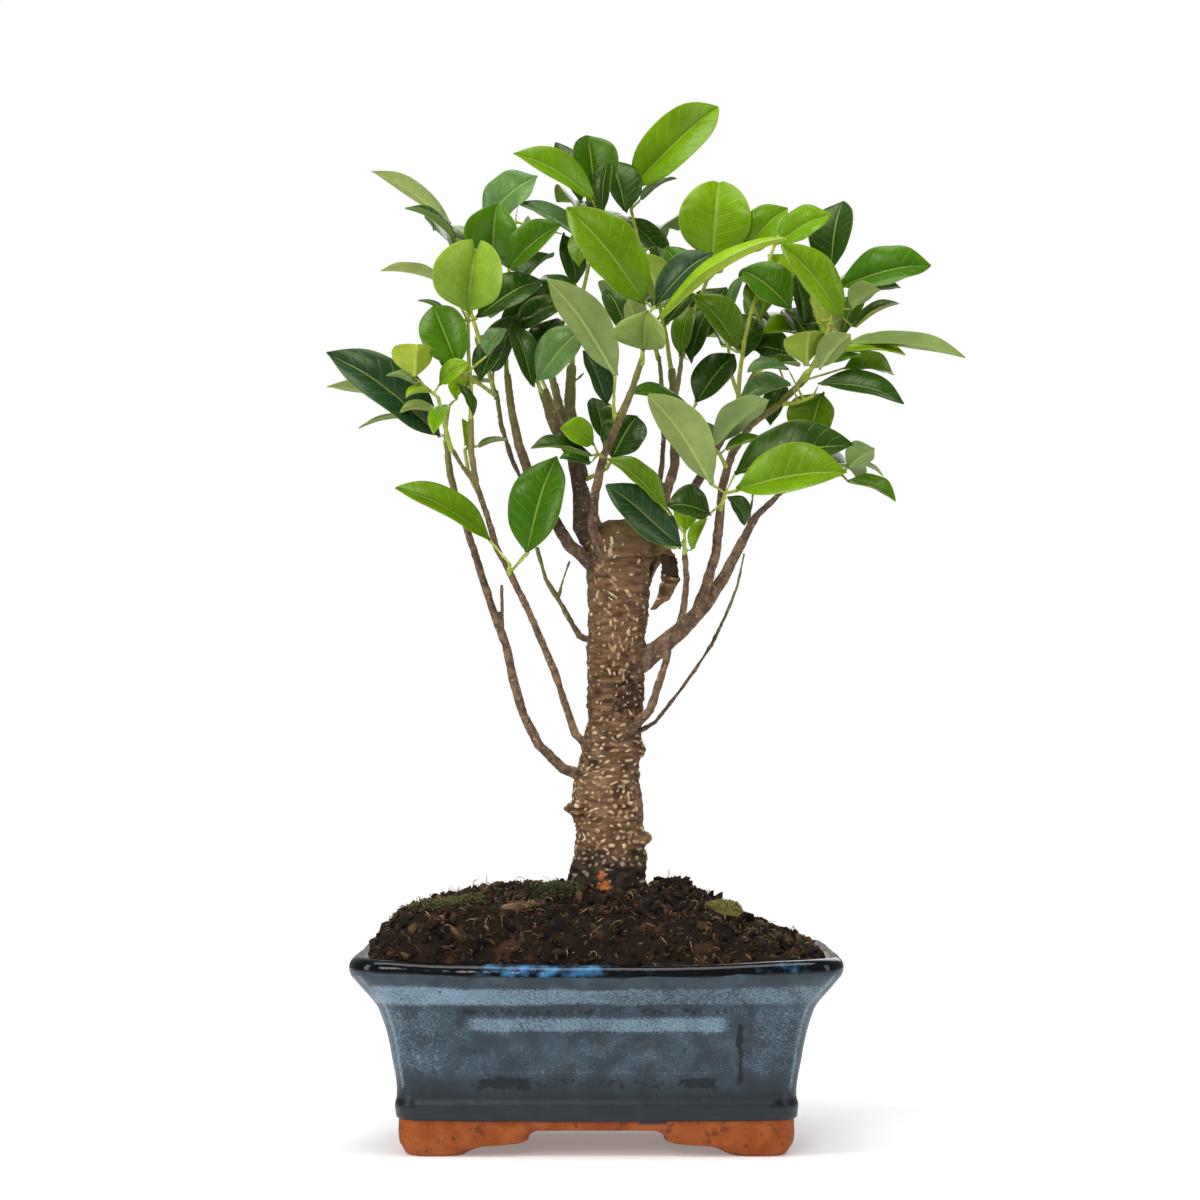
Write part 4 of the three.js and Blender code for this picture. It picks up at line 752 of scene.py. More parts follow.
# %% Bars
def bar(start, end, width, height, taper=0.7):
    """Rings of a bar with a flattened octagon section, wider across than it is high."""
    start, end = np.array(start, float), np.array(end, float)
    ahead = unit(end - start)
    side = np.array([-ahead[1], ahead[0], 0])
    angles = np.arange(8) * math.pi / 4 + math.pi / 8
    section = np.outer(np.cos(angles) * width / 2, side) + np.outer(np.sin(angles) * height / 2, [0, 0, 1])
    share = np.array([0, 0.02, 0.25, 0.5, 0.75, 0.98, 1])
    swell = np.array([taper, 1, 1, 1, 1, 1, taper])
    rings = [start + (end - start) * s + section * 1.08 * k for s, k in zip(share, swell)]
    return np.array(rings)


plastic_finish, tree, place = new_finish("black_plastic")
scuff = grain(tree, place, 0.6, 5)
plastic = mixed(tree, ramp(tree, scuff, 0.4, 0.75), colour("#141414"), colour("#2c2a28"))
plastic = mixed(tree, ramp(tree, grain(tree, place, 4), 0.5, 0.7, 0, 0.5), plastic, colour("#3a2a1e"))
surface(tree, plastic, ramp(tree, scuff, 0.3, 0.7, 0.4, 0.65), relief(tree, scuff, 0.05))

for name in ("drain_screen_left", "drain_screen_right"):
    low, high = (np.array(corner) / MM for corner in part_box(name))
    middle = (low + high) / 2
    thick = high[2] - low[2]
    points, faces = [], []
    runs = 7  # ribs each way
    for across in (0, 1):
        for rib in range(runs):
            at = low[across] + 0.7 + (high[across] - low[across] - 1.4) * rib / (runs - 1)
            ends = [[0.0, 0.0, middle[2]], [0.0, 0.0, middle[2]]]
            for end, limit in zip(ends, (low, high)):
                end[across] = at
                end[1 - across] = limit[1 - across]
            rim_rib = rib in (0, runs - 1)
            made, squares = loft(bar(*ends, 1.4 if rim_rib else 1.1, thick * (0.95 if across else 0.8)))
            faces += [[i + len(points) for i in square] for square in squares]
            points = [*points, *made]
    piece(name, points, faces, [plastic_finish])
    print(name, len(faces), "faces")

# %% [markdown]
# ## Soil
#
# Potting mix is dark peat with crumbs from dust up to a few millimetres, and pale fibres that stick out. A
# bump map alone would leave the outline of the heap smooth, so the heap is built of three things: a
# lumpy mound that fills the pot, thousands of small crumbs that are pressed into it, and
# fibres that lie over it. A tone is painted on every crumb, so no two neighbours match.

# %% Mound
root_x, root_y = pot_middle[:2]
soil_corners, soil_triangles = measured("soil")
soil_tree = tree_of(soil_corners, soil_triangles)
trunk_corners, trunk_triangles = measured("trunk")


def soil_height(x, y):
    """Height of the measured mound there, or None outside it."""
    hit = soil_tree.ray_cast(Vector((x, y, 200)), Vector((0, 0, -1)))
    return None if hit[0] is None else hit[0].z


rings = []
for half, z in ((54.4, 14.5), (56.8, 25), (59.6, 38), (61.4, 45.6), (64.6, 51), (68.2, 56)):
    ring = pot_ring(half, half - SIDE_DIFFERENCE, 7, 108, 80, 10)
    rings.append(np.column_stack([ring + pot_middle[:2], np.full(len(ring), z)]))
edge = pot_ring(68.9, 68.9 - SIDE_DIFFERENCE, 7, 108, 80, 10)
SOIL_RINGS = 74
for step in range(SOIL_RINGS):
    share = 1 - (step / SOIL_RINGS) ** 1.35
    flat = edge * share
    ring = np.column_stack([flat + pot_middle[:2], np.zeros(len(flat))])
    for place_now in ring:
        height = soil_height(*place_now[:2])
        place_now[2] = 60.2 if height is None or (step < 2) else height
    rings.append(ring)
mound = np.array(rings)
points, mound_faces = loft(mound)
top = np.arange(len(points)) >= 6 * len(edge)
near_edge = 1 - np.abs(points[:, :2] - pot_middle[:2]) / [68.9, 68.9 - SIDE_DIFFERENCE]
free = eased(near_edge.min(axis=1), 0.0, 0.05) * top
bulk = 1.1 * lumps(points, 9, 21) + 0.9 * lumps(points, 4, 22)
bulk = bulk + 0.6 * lumps(points, 1.8, 23) + 0.3 * lumps(points, 0.9, 24)
points[:, 2] += free * (bulk + 0.3)
front_dip = eased(-(points[:, 1] - pot_middle[1]), 36, 48)
front_dip = front_dip * eased(60 - np.abs(points[:, 0] - pot_middle[0]), 0, 30)
points[:, 2] -= 1.5 * front_dip * top
over = points[:, 0] - pot_middle[0]
right_dip = window(over, 40, 64, 5) * free
clod = np.exp(-(((over - 25) / 6) ** 2) - ((points[:, 1] - pot_middle[1] + 4) / 9) ** 2) * free
points[:, 2] += 3.6 * clod - 3.6 * right_dip
mound_points = points
print("mound:", len(mound_points), "points")

# %% Crumbs
rng = np.random.default_rng(5)
ball = bmesh.new()
bmesh.ops.create_icosphere(ball, subdivisions=1, radius=1)
BALL = np.array([corner.co[:] for corner in ball.verts])
BALL_FACES = np.array([[corner.index for corner in face.verts] for face in ball.faces])
ball.free()
PEAT_TONES = [colour(code)[:3] for code in ("#1a120b", "#2a1e12", "#3f2f1c", "#100a06", "#4c3a26", "#2a1e10")]


def random_spin(rng):
    axes = np.linalg.qr(rng.normal(size=(3, 3)))[0]
    return axes * np.sign(np.linalg.det(axes))


quads = np.array([face for face in mound_faces if len(face) == 4])
middles = mound_points[quads].mean(axis=1)
corner = [mound_points[quads[:, turn]] for turn in range(4)]
spans = np.cross(corner[2] - corner[0], corner[3] - corner[1])
areas = lengths(spans)[:, 0] / 2
in_trunk = lengths(middles[:, :2] - [root_x + 4, root_y])[:, 0] < 12
areas *= (middles[:, 2] > 58.5) & ~in_trunk
crumb_points, crumb_faces, crumb_tones = [], [], []
CRUMBS = 3900
for index in rng.choice(len(quads), CRUMBS, p=areas / areas.sum()):
    corner = rng.uniform(0, 1, 2)
    a, b, c, d = mound_points[quads[index]]
    spot = a + (b - a) * corner[0] + (d - a) * corner[1]
    facing = unit(spans[index])
    size = 0.42 + 1.35 * rng.power(0.34) * (0.5 if index % 3 else 1)
    shape = BALL * rng.uniform(0.6, 1.35, (len(BALL), 1)) * [1.6, 1.0, 0.6] * size
    crumb_faces.append(BALL_FACES + len(BALL) * len(crumb_points))
    crumb_points.append(shape @ random_spin(rng).T + spot + facing * size * rng.uniform(-0.15, 0.5))
    tone = np.array(PEAT_TONES[rng.integers(len(PEAT_TONES))]) * rng.uniform(0.6, 1.3)
    crumb_tones.append(np.tile(tone, (len(BALL), 1)))
crumb_points, crumb_faces = np.concatenate(crumb_points), np.concatenate(crumb_faces)
crumb_tones = np.concatenate(crumb_tones)
print("crumbs:", len(crumb_faces) // 20)


# %% Fibres
def thread(line, thickness, sides=3):
    """Rings of a thin round thread along a line, tapering to both ends."""
    line = np.asarray(line)
    ahead = unit(np.gradient(line, axis=0))
    aside = unit(np.cross(ahead, [0.3, 0.2, 0.93]))
    over = np.cross(ahead, aside)
    angles = np.arange(sides) * 2 * math.pi / sides
    share = np.linspace(0, 1, len(line))
    girth = thickness / 2 * (0.35 + 0.65 * np.sin(math.pi * np.clip(share * 0.9 + 0.05, 0, 1)))
    ring = np.cos(angles)[None, :, None] * aside[:, None] + np.sin(angles)[None, :, None] * over[:, None]
    return line[:, None] + ring * girth[:, None, None]


fibre_points, fibre_faces, fibre_tones = [], [], []


def add_fibre(line, thickness, tone):
    made, squares = loft(thread(line, thickness))
    start = sum(len(part) for part in fibre_points)
    fibre_faces.extend([[i + start for i in square] for square in squares])
    fibre_points.append(made)
    fibre_tones.append(np.tile(tone, (len(made), 1)))


FIBRES = 1300
for index in rng.choice(len(quads), FIBRES, p=areas / areas.sum()):
    spot, facing = middles[index], unit(spans[index])
    heading = unit(np.cross(facing, rng.normal(size=3)))
    reach = rng.uniform(1.5, 5) * (1.8 if rng.random() < 0.1 else 1)
    lifted = rng.uniform(0.2, 1.0) + (2.0 if rng.random() < 0.04 else 0)
    line = []
    for share in np.linspace(0, 1, 5):
        line.append(spot + facing * (0.3 + lifted * math.sin(math.pi * share)))
        heading = unit(heading + rng.normal(0, 0.28, 3))
        spot = spot + heading * reach / 5
    tan = np.array(colour(("#8a6c4c", "#5b3f27", "#a88c66", "#3b2817", "#6f5236")[rng.integers(5)])[:3])
    add_fibre(line, rng.uniform(0.12, 0.36), tan * rng.uniform(0.7, 1.2))
print("fibres:", len(fibre_points))

# %% Soil finish
soil_finish, tree, place = new_finish("peat")
dust = grain(tree, place, 0.35, 5)
patch = grain(tree, place, 6, 4)
earth = kept_colour(tree, "tone")
shade = sums(tree, "MULTIPLY", ramp(tree, dust, 0.3, 0.7, 0.62, 1.5), ramp(tree, patch, 0.3, 0.7, 0.75, 1.3))
shade_colour = node(tree, "CombineColor", {0: shade, 1: shade, 2: shade}).outputs[0]
earth = mixed(tree, 1.0, earth, shade_colour, "MULTIPLY")
earth_rough = ramp(tree, dust, 0.3, 0.7, 0.8, 0.98)
surface(tree, earth, earth_rough, relief(tree, dust, 0.3), **{"Specular IOR Level": 0.15})

mound_tones = np.array(colour("#1a110a")[:3]) * (1 + 0.4 * lumps(mound_points, 5, 30))[:, None]
rusty = eased(lumps(mound_points, 3, 31), 0.2, 0.7)[:, None]
mound_tones = mound_tones + np.array(colour("#3a2415")[:3]) * rusty * 0.7
soil_points = np.concatenate([mound_points, crumb_points, *fibre_points])
start = len(mound_points)
soil_faces = mound_faces + (crumb_faces + start).tolist()
start += len(crumb_points)
soil_faces += [[i + start for i in face] for face in fibre_faces]
soil_tones = np.concatenate([mound_tones, crumb_tones, *fibre_tones])
piece("soil", soil_points, soil_faces, [soil_finish], {"tone": soil_tones})
print("soil:", len(soil_faces), "faces")

# %% [markdown]
# ## Moss and bark chip
#
# Cushion moss is a felt of tiny pointed leaflets. Each cushion gets a soft core with the shape of the
# measured one, and hundreds of leaflets that stand off it. The chip is a torn strip of dead bark.

# %% Moss
moss_finish, tree, place = new_finish("moss")
felt = grain(tree, place, 0.5, 5)
moss_colour = kept_colour(tree, "tone")
shade = ramp(tree, felt, 0.3, 0.7, 0.6, 1.35)
shade_colour = node(tree, "CombineColor", {0: shade, 1: shade, 2: shade}).outputs[0]
moss_colour = mixed(tree, 1.0, moss_colour, shade_colour, "MULTIPLY")
surface(tree, moss_colour, ramp(tree, felt, 0.3, 0.7, 0.7, 0.95), relief(tree, felt, 0.25))

MOSS_TONES = {
    "moss_left": ("#4c5220", "#666a2c", "#3a3c18", "#7b7440"),
    "moss_small": ("#3d4a1c", "#55602a", "#2e3416"),
    "moss_right": ("#8f8a34", "#6f6c28", "#b3a856", "#4a4420"),
}
LEAFLETS = 1500
for name, codes in MOSS_TONES.items():
    corners, triangles = measured(name)
    core, quads = even_skin(corners, triangles, 0.35)
    core = relax(core, quads, 4)
    core += normals_of(core, quads) * (0.35 * lumps(core, 1.4, 40) + 0.15)[:, None]
    core[:, 2] -= 0.25
    facing = normals_of(core, quads)
    tones = [np.array(colour(code)[:3]) for code in codes]
    patchy = eased(lumps(core, 3.5, 41), -0.3, 0.5)[:, None]
    # Painted shade: the core under the leaflets is painted at little more than half the brightness of the moss
    # tones.
    shaded_core_tone = tones[0] * 0.55 * patchy + tones[2] * 0.6 * (1 - patchy)
    up = np.flatnonzero(facing[:, 2] > 0.1)
    points, faces, paint = [core], quads.tolist(), [shaded_core_tone]
    start = len(core)
    low, high = core.min(axis=0), core.max(axis=0)
    away = (mound_points - (low + high) / 2) / ((high - low) / 2 + [4.5, 3.5, 6])
    spread = lengths(away * [1, 1, 0.6])[:, 0] + 0.3 * lumps(mound_points, 4, 42)
    around_it = np.flatnonzero(top & (spread < 1))
    grown = [(core[i], facing[i]) for i in rng.choice(up, LEAFLETS)]
    spill = LEAFLETS if name != "moss_right" else 120
    grown += [(mound_points[i] + [0, 0, 0.5], np.array([0, 0, 1.0])) for i in rng.choice(around_it, spill)]
    for root, outwards in grown:
        out = unit(outwards + rng.normal(0, 0.55, 3))
        side = unit(np.cross(out, rng.normal(size=3)))
        size = rng.uniform(0.45, 1.2)
        bent = unit(out + 0.5 * np.cross(out, side))
        width = 0.16 * size
        leaflet = [root - side * width, root + side * width, root + np.cross(out, side) * 0.06]
        leaflet += [p + out * size * 0.55 for p in leaflet]
        leaflet.append(root + (out + bent) * size * 0.5)
        points.append(np.array(leaflet))
        faces += [[start + i for i in face] for face in ([0, 1, 4, 3], [1, 2, 5, 4], [2, 0, 3, 5])]
        faces += [[start + i for i in face] for face in ([3, 4, 6], [4, 5, 6], [5, 3, 6], [2, 1, 0])]
        paint.append(np.tile(tones[rng.integers(len(tones))] * rng.uniform(0.7, 1.25), (7, 1)))
        start += 7
    paint = {"tone": np.concatenate(paint)}
    piece(name, np.concatenate(points), faces, [moss_finish], paint)
    print(name, len(faces), "faces")

# %% Bark chip
chip_finish, tree, place = new_finish("bark_chip")
corners, triangles = measured("bark_chip")
core, quads = even_skin(corners, triangles, 0.3)
core = relax(core, quads, 6)
chip_low, chip_high = core.min(axis=0), core.max(axis=0)
run = (core - chip_low) / (chip_high - chip_low)
strand = lumps(core * [0.22, 1, 1], 1.0, 50)
core += normals_of(core, quads) * (0.35 * strand + 0.15 * lumps(core, 0.9, 51))[:, None]
points, faces, start = [core], quads.tolist(), len(core)
for index in rng.choice(len(core), 60):
    heading = unit(np.array([-1.0, -0.35, -0.25]) + rng.normal(0, 0.3, 3))
    if rng.random() < 0.4:
        heading = -heading
    steps = np.linspace(0, rng.uniform(1.5, 4.5), 5)[:, None]
    made, squares = loft(thread(core[index] + heading * steps + [0, 0, 0.1], 0.3))
    faces += [[i + start for i in square] for square in squares]
    points.append(made)
    start += len(made)
points = np.concatenate(points)
grain_at = node(tree, "Mapping", {"Vector": place, "Scale": (0.25, 1, 1)}).outputs[0]
wood = grain(tree, grain_at, 0.6, 5)
chip_colour = mixed(tree, ramp(tree, wood, 0.35, 0.68), colour("#54391f"), colour("#8d6c48"))
chip_colour = mixed(tree, ramp(tree, grain(tree, place, 3), 0.5, 0.7, 0, 0.6), chip_colour, colour("#3b2716"))
surface(tree, chip_colour, ramp(tree, wood, 0.3, 0.7, 0.75, 0.95), relief(tree, wood, 0.3))
piece("bark_chip", points, faces, [chip_finish])
print("bark chip:", len(faces), "faces")

# %% [markdown]
# ## Trunk
#
# Fig bark is thin, grey-brown and covered in lenticels: corky, cream-coloured pores, stretched into
# short dashes round the trunk. They are raised, so each one is both a bump in the mesh and a mark in the
# colour. They lie crowded at the waist, slanted high on the left, and in rows of dots between. The
# foot is wet and nearly black from watering, and old cuts have left dark hollows. Shade is also painted
# into the bark: every dip of its relief is darkened, and the deep cut hollows most.

# %% Trunk shape
trunk_points, trunk_quads = even_skin(trunk_corners, trunk_triangles, 0.4)
trunk_points = relax(trunk_points, trunk_quads, 26)
AXIS_KNOTS = np.array([54, 83, 106, 120, 146, 168, 186, 197.0])
AXIS_X = np.array([[4.0], [4.0], [3.5], [4.0], [6.0], [7.2], [8.6], [10.5]])
TRUNK_RADIUS = 10.0
root_x, root_y = pot_middle[:2]


def round_trunk(points):
    """How far round the trunk and how high each point is, in millimetres, 0 in front."""
    middle = through(points[:, 2], AXIS_X, AXIS_KNOTS)[:, 0] + root_x
    turn = np.arctan2(points[:, 0] - middle, -(points[:, 1] - root_y))
    return TRUNK_RADIUS * turn, points[:, 2]


around, height = round_trunk(trunk_points)

# The measured knots are balls. On the tree they are short pointed stubs, so their flanks are drawn in.
GIRTH_KNOTS = np.array([54, 68, 77, 83, 90, 98, 106, 113, 120, 133, 146, 157, 168, 179, 186, 191, 197.0])
GIRTH = np.array([17, 16, 14, 12.2, 10.8, 10.6, 11, 10.6, 9.6, 9, 9.1, 9.3, 9.4, 10.5, 12.2, 12.2, 9])
middle = through(height, AXIS_X, AXIS_KNOTS)[:, 0] + root_x
spoke = trunk_points[:, :2] - np.column_stack([middle, np.full(len(middle), root_y)])
excess = lengths(spoke)[:, 0] - through(height, GIRTH[:, None], GIRTH_KNOTS)[:, 0] - 0.4
pointed = np.max([np.exp(-(((height - level) / 1.7) ** 2)) for level in (105, 123.5, 95.5, 150)], axis=0)
drawn_in = np.maximum(excess, 0) * (1 - 0.75 * pointed) * (1 - eased(height, 160, 166))
drawn_in = drawn_in * (1 - 0.6 * window(height, 116, 132, 2))
trunk_points[:, :2] -= unit(spoke) * drawn_in[:, None]
outward = normals_of(trunk_points, trunk_quads)
stretched = trunk_points * [0.55, 0.55, 1.7]
bark = 0.5 * lumps(trunk_points, 7, 60) + 0.3 * lumps(trunk_points, 3, 61)
creases = 0.34 * lumps(stretched, 2.6, 62) + 0.16 * lumps(stretched, 1.2, 63)
wet = 1 - eased(height + 3 * lumps(trunk_points, 5, 64), 86, 94)
foot_rough = (0.9 * lumps(trunk_points, 3.4, 65) + 0.5 * lumps(trunk_points, 1.5, 66)) * wet
crown_rough = 0.7 * lumps(trunk_points * [1, 1, 2], 4, 67) * eased(height, 178, 190)
flap = eased(around, 14, 17) * eased(height, 165, 170)
crown_rough += 0.5 * lumps(trunk_points, 2.2, 68) * flap
trunk_relief = bark + creases + foot_rough + crown_rough


# %% Lenticels
def ovals(around, height, rows):
    """How much each point lies in any of the ovals: round, high, half length, half width, slant."""
    share = np.zeros(len(around))
    flat = np.column_stack([around, height, 0 * height])
    ragged = 0.6 * lumps(flat, 1.2, 70) + 0.4 * lumps(flat, 0.6, 71)
    for at, level, half_long, half_wide, slant in rows:
        beside = np.abs(around - at) < half_long + 2
        near = np.flatnonzero(beside & (np.abs(height - level) < half_long + 2))
        over, up = around[near] - at, height[near] - level
        along = over * math.cos(slant) + up * math.sin(slant)
        aside = up * math.cos(slant) - over * math.sin(slant)
        off = np.sqrt((along / half_long) ** 2 + (aside / half_wide) ** 2) + ragged[near]
        share[near] = np.maximum(share[near], 1 - eased(off, 0.65, 1.25))
    return share


rng = np.random.default_rng(11)
SPAN = math.pi * TRUNK_RADIUS
rows = []


def scatter(count, low, high, left, right, long_mm, wide_mm, slant, loose):
    """Ovals at random between two heights and two places round the trunk, none crossing another."""
    for _ in range(count):
        for _ in range(12):
            at, level = rng.uniform(left, right), rng.uniform(low, high)
            clear = all(
                abs(at - r[0]) > (long_mm + r[2]) * 1.15 or abs(level - r[1]) > wide_mm + r[3] + 0.35
                for r in rows
            )
            if clear:
                size = rng.uniform(0.4, 1.4)
                width = wide_mm * rng.uniform(0.7, 1.2)
                rows.append((at, level, long_mm * size, width, slant + rng.normal(0, loose)))
                break


scatter(230, 110, 132, -SPAN, SPAN, 1.25, 0.42, 0.0, 0.25)
scatter(150, 91, 111, 1, 11, 0.8, 0.62, 0.1, 0.5)
scatter(230, 87, 98, -SPAN, SPAN, 0.85, 0.55, 0.0, 0.6)
scatter(70, 98, 111, -SPAN, 1, 0.8, 0.4, 0.0, 0.6)
scatter(12, 166, 178, -5, 3, 1.9, 0.42, -0.65, 0.12)
scatter(16, 150, 165, 5, 7.5, 0.6, 0.75, 0.0, 0.4)
scatter(26, 146, 166, -3, 4, 0.55, 1.3, 0.1, 0.4)
scatter(260, 132, 172, -SPAN, SPAN, 0.65, 0.4, 0.0, 0.7)
scatter(90, 168, 192, -SPAN, SPAN, 0.7, 0.35, 0.0, 0.9)
scatter(10, 172, 190, -10, -4, 0.5, 1.5, 0.1, 0.3)
scatter(34, 76, 90, -SPAN, SPAN, 0.8, 0.45, 0.0, 0.4)
pores = ovals(around, height, rows)
pores[around > SPAN - 1] *= 0.5
SCARS = [
    (5.5, 140, 5, 6.5, 0.0),
    (12.5, 181.5, 2.2, 3.0, 0.0),
    (-6, 119, 1.8, 1.6, 0.0),
    (-5, 105.5, 4.2, 3.6, 0.0),
]
scar = ovals(around, height, SCARS[:3])
ring_mark = ovals(around, height, SCARS[3:]) * 0.5
hole = ovals(around, height, SCARS[1:2])
trunk_relief += 0.3 * pores - 0.5 * scar - 1.6 * hole - 0.25 * ring_mark
trunk_points += outward * trunk_relief[:, None]
orange = ovals(around, height, [(-1.5, 80.5, 2.2, 1.4, 0.2), (-2.4, 84.5, 0.8, 1.6, 0.0)])
print("trunk:", len(trunk_quads), "faces,", len(rows), "lenticels")

# %% Bark finish
bark_finish, tree, place = new_finish("trunk_bark")
fleck = grain(tree, place, 0.6, 5)
flow = node(tree, "Mapping", {"Vector": place, "Scale": (0.5, 0.5, 1.6)}).outputs[0]
streaks = grain(tree, flow, 2.2, 5)
clouds = grain(tree, place, 8, 3)
bark_colour = mixed(tree, ramp(tree, streaks, 0.35, 0.68), colour("#4d3724"), colour("#8c6a4a"))
bark_colour = mixed(tree, ramp(tree, clouds, 0.4, 0.65, 0, 0.5), bark_colour, colour("#6b5638"))
# Painted shade: the dips of the bark relief, and most of all the hollows of old cuts, are darkened towards
# black-brown.
painted_crevice_shade = ramp(tree, kept(tree, "relief"), -0.15, -0.75)
bark_colour = mixed(tree, sums(tree, "MULTIPLY", painted_crevice_shade, 0.75), bark_colour, colour("#2b1c12"))
bark_colour = mixed(tree, sums(tree, "MULTIPLY", kept(tree, "crown"), 0.6), bark_colour, colour("#54431f"))
bark_colour = mixed(tree, sums(tree, "MULTIPLY", kept(tree, "scar"), 0.72), bark_colour, colour("#2f2117"))
pore = sums(tree, "ADD", kept(tree, "pore"), sums(tree, "MULTIPLY", sums(tree, "SUBTRACT", fleck, 0.5), 0.5))
pore = ramp(tree, pore, 0.25, 0.95)
cork = mixed(tree, ramp(tree, grain(tree, place, 2.2), 0.35, 0.65), colour("#a98560"), colour("#e8cfa6"))
bark_colour = mixed(tree, sums(tree, "MULTIPLY", pore, 0.82), bark_colour, cork)
damp = kept(tree, "wet")
damp_colour = mixed(tree, ramp(tree, streaks, 0.4, 0.7), colour("#0d0805"), colour("#2b1a0d"))
damp_colour = mixed(tree, ramp(tree, clouds, 0.5, 0.62, 0, 0.5), damp_colour, colour("#2a3312"))
damp_colour = mixed(tree, sums(tree, "MULTIPLY", pore, 0.55), damp_colour, colour("#b59a72"))
bark_colour = mixed(tree, sums(tree, "MULTIPLY", damp, 0.93), bark_colour, damp_colour)
bark_colour = mixed(tree, kept(tree, "orange"), bark_colour, colour("#a8602c"))
bark_rough = ramp(tree, fleck, 0.3, 0.7, 0.68, 0.92)
bark_rough = sums(tree, "SUBTRACT", bark_rough, sums(tree, "MULTIPLY", damp, 0.2))
bark_height = sums(tree, "ADD", fleck, sums(tree, "MULTIPLY", streaks, 0.8))
surface(tree, bark_colour, bark_rough, relief(tree, bark_height, 0.5), **{"Specular IOR Level": 0.25})
marks = {
    "pore": pores,
    "wet": wet,
    "relief": trunk_relief,
    "crown": eased(height, 182, 190),
    "scar": np.maximum(scar, ring_mark * 0.35),
    "orange": orange,
}
piece("trunk", trunk_points, trunk_quads.tolist(), [bark_finish], marks)
fine_trunk = tree_of(trunk_points, trunk_quads)

# %% [markdown]
# ## Branches
#
# Branches are round, a little crooked, and swell where they leave the trunk. The measured ones have
# five flat sides and stop a hair short of the wood they grow from. Each gets an even skin that is ironed
# round, and the end of the skin is then drawn onto the trunk in a collar, which closes the gap.

# %% Branches
BRANCH_VOXEL = 0.3


def drawn_to(points, outward, wood, reach, swell):
    """Moves points near the wood onto it, and swells those a little further off into a collar."""
    moved = points.copy()
    for index, point in enumerate(points):
        spot, _, _, off = wood.find_nearest(Vector(point), 3 * reach)
        if spot is None:
            continue
        if off < reach:
            pull = eased(np.array(off), reach, 0.5 * reach)
            moved[index] += (np.array(spot) - point) * 1.3 * pull
        moved[index] += outward[index] * swell * (1 - off / (3 * reach)) ** 2
    return moved


branch_finish, tree, place = new_finish("branch_bark")
fleck = grain(tree, place, 0.5, 5)
blotch = grain(tree, place, 2.4, 4)
twig_colour = mixed(tree, ramp(tree, blotch, 0.35, 0.65), colour("#543d2a"), colour("#86684a"))
# The dark mark is a darker tone on the branches listed in DARK_BRANCHES, plus painted shade in the dips of the
# bark.
twig_colour = mixed(tree, sums(tree, "MULTIPLY", kept(tree, "dark"), 0.75), twig_colour, colour("#38291c"))
speckle = ramp(tree, grain(tree, place, 1.0, 3), 0.6, 0.68)
twig_colour = mixed(tree, sums(tree, "MULTIPLY", speckle, 0.7), twig_colour, colour("#b99b76"))
twig_colour = mixed(tree, kept(tree, "young"), twig_colour, colour("#86883c"))
surface(tree, twig_colour, ramp(tree, fleck, 0.3, 0.7, 0.6, 0.85), relief(tree, fleck, 0.25))

wood_points, wood_faces = [], []
DARK_BRANCHES = {
    "branch_centre_dark": 0.9,
    "branch_left_high": 0.5,
    "twig_right": 0.6,
    "branch_back_left": 0.6,
}
branch_names = sorted(name for name in frame["nodes"] if name.startswith(("branch_", "twig_")))
for seed, name in enumerate(branch_names):
    corners, triangles = measured(name)
    points, quads = even_skin(corners, triangles, BRANCH_VOXEL)
    points = relax(points, quads, 7)
    outward = normals_of(points, quads)
    rough = -0.12 + 0.2 * lumps(points, 2.6, 80 + seed) + 0.13 * lumps(points, 1.1, 120 + seed)
    points += outward * rough[:, None]
    points = drawn_to(points, outward, fine_trunk, 1.6, 0.5)
    low, high = points[:, 2].min(), points[:, 2].max()
    young = 0.75 * eased(points[:, 2] + 4 * lumps(points, 6, 90), high - 32, high + 3)
    dark = np.full(len(points), DARK_BRANCHES.get(name, 0.15))
    # Painted shade: points where the bark relief dips get a higher dark mark.
    marks = {"young": young, "dark": dark + 0.6 * eased(rough, -0.05, -0.3)}
    piece(name, points, quads.tolist(), [branch_finish], marks)
    wood_faces.append(quads + sum(len(part) for part in wood_points))
    wood_points.append(points)
fine_wood = tree_of(np.concatenate(wood_points), np.concatenate(wood_faces))
print("branches:", len(branch_names), "with", sum(len(part) for part in wood_faces), "faces")

# %% [markdown]
# ## Leaves: shape
#
# A fig leaf of this kind is a stiff, waxy oval. Its blade folds a little along a pale midrib that stands out
# underneath, its margin waves gently, and its tip bends down. The measured leaf gives four cross-sections
# and the tip. Smooth curves through them carry an oval outline, and the blade gets a top and an underside
# with a third of a millimetre between them, so that it is a real thin solid.


# %% Find the measured leaves
def neighbours_of(corners, triangles):
    """For each corner, the corners it shares an edge with."""
    near = [set() for _ in corners]
    for a, b, c in triangles:
        near[a] |= {b, c}
        near[b] |= {a, c}
        near[c] |= {a, b}
    return near


MOST_RINGS = 4  # cross-sections of a measured blade. The lowest may be hidden where leaves meet
# One blade of shoot_right_arch meets its neighbours so early that it shows two rings only. It isn't found here,
# and is skinned together with its stem.


def blades_of(corners, triangles):
    """The tip of each measured blade, and its rings of four corners from the petiole up."""
    near = neighbours_of(corners, triangles)
    found = []
    for tip, around in enumerate(near):
        rings, seen = [], {tip}
        layer = around
        while len(layer) == 4 and len(rings) < MOST_RINGS:
            rings.append(sorted(layer))
            seen = seen | layer
            layer = set().union(*(near[corner] for corner in layer)) - seen
        if len(rings) >= MOST_RINGS - 1:
            found.append((tip, rings[::-1]))
    return sorted(found, key=lambda blade: corners[blade[0]][0])


# %% The lines that a blade is stretched over
RING_AT = [0.15, 0.42, 0.68, 0.9]  # where the measured cross-sections lie along a blade


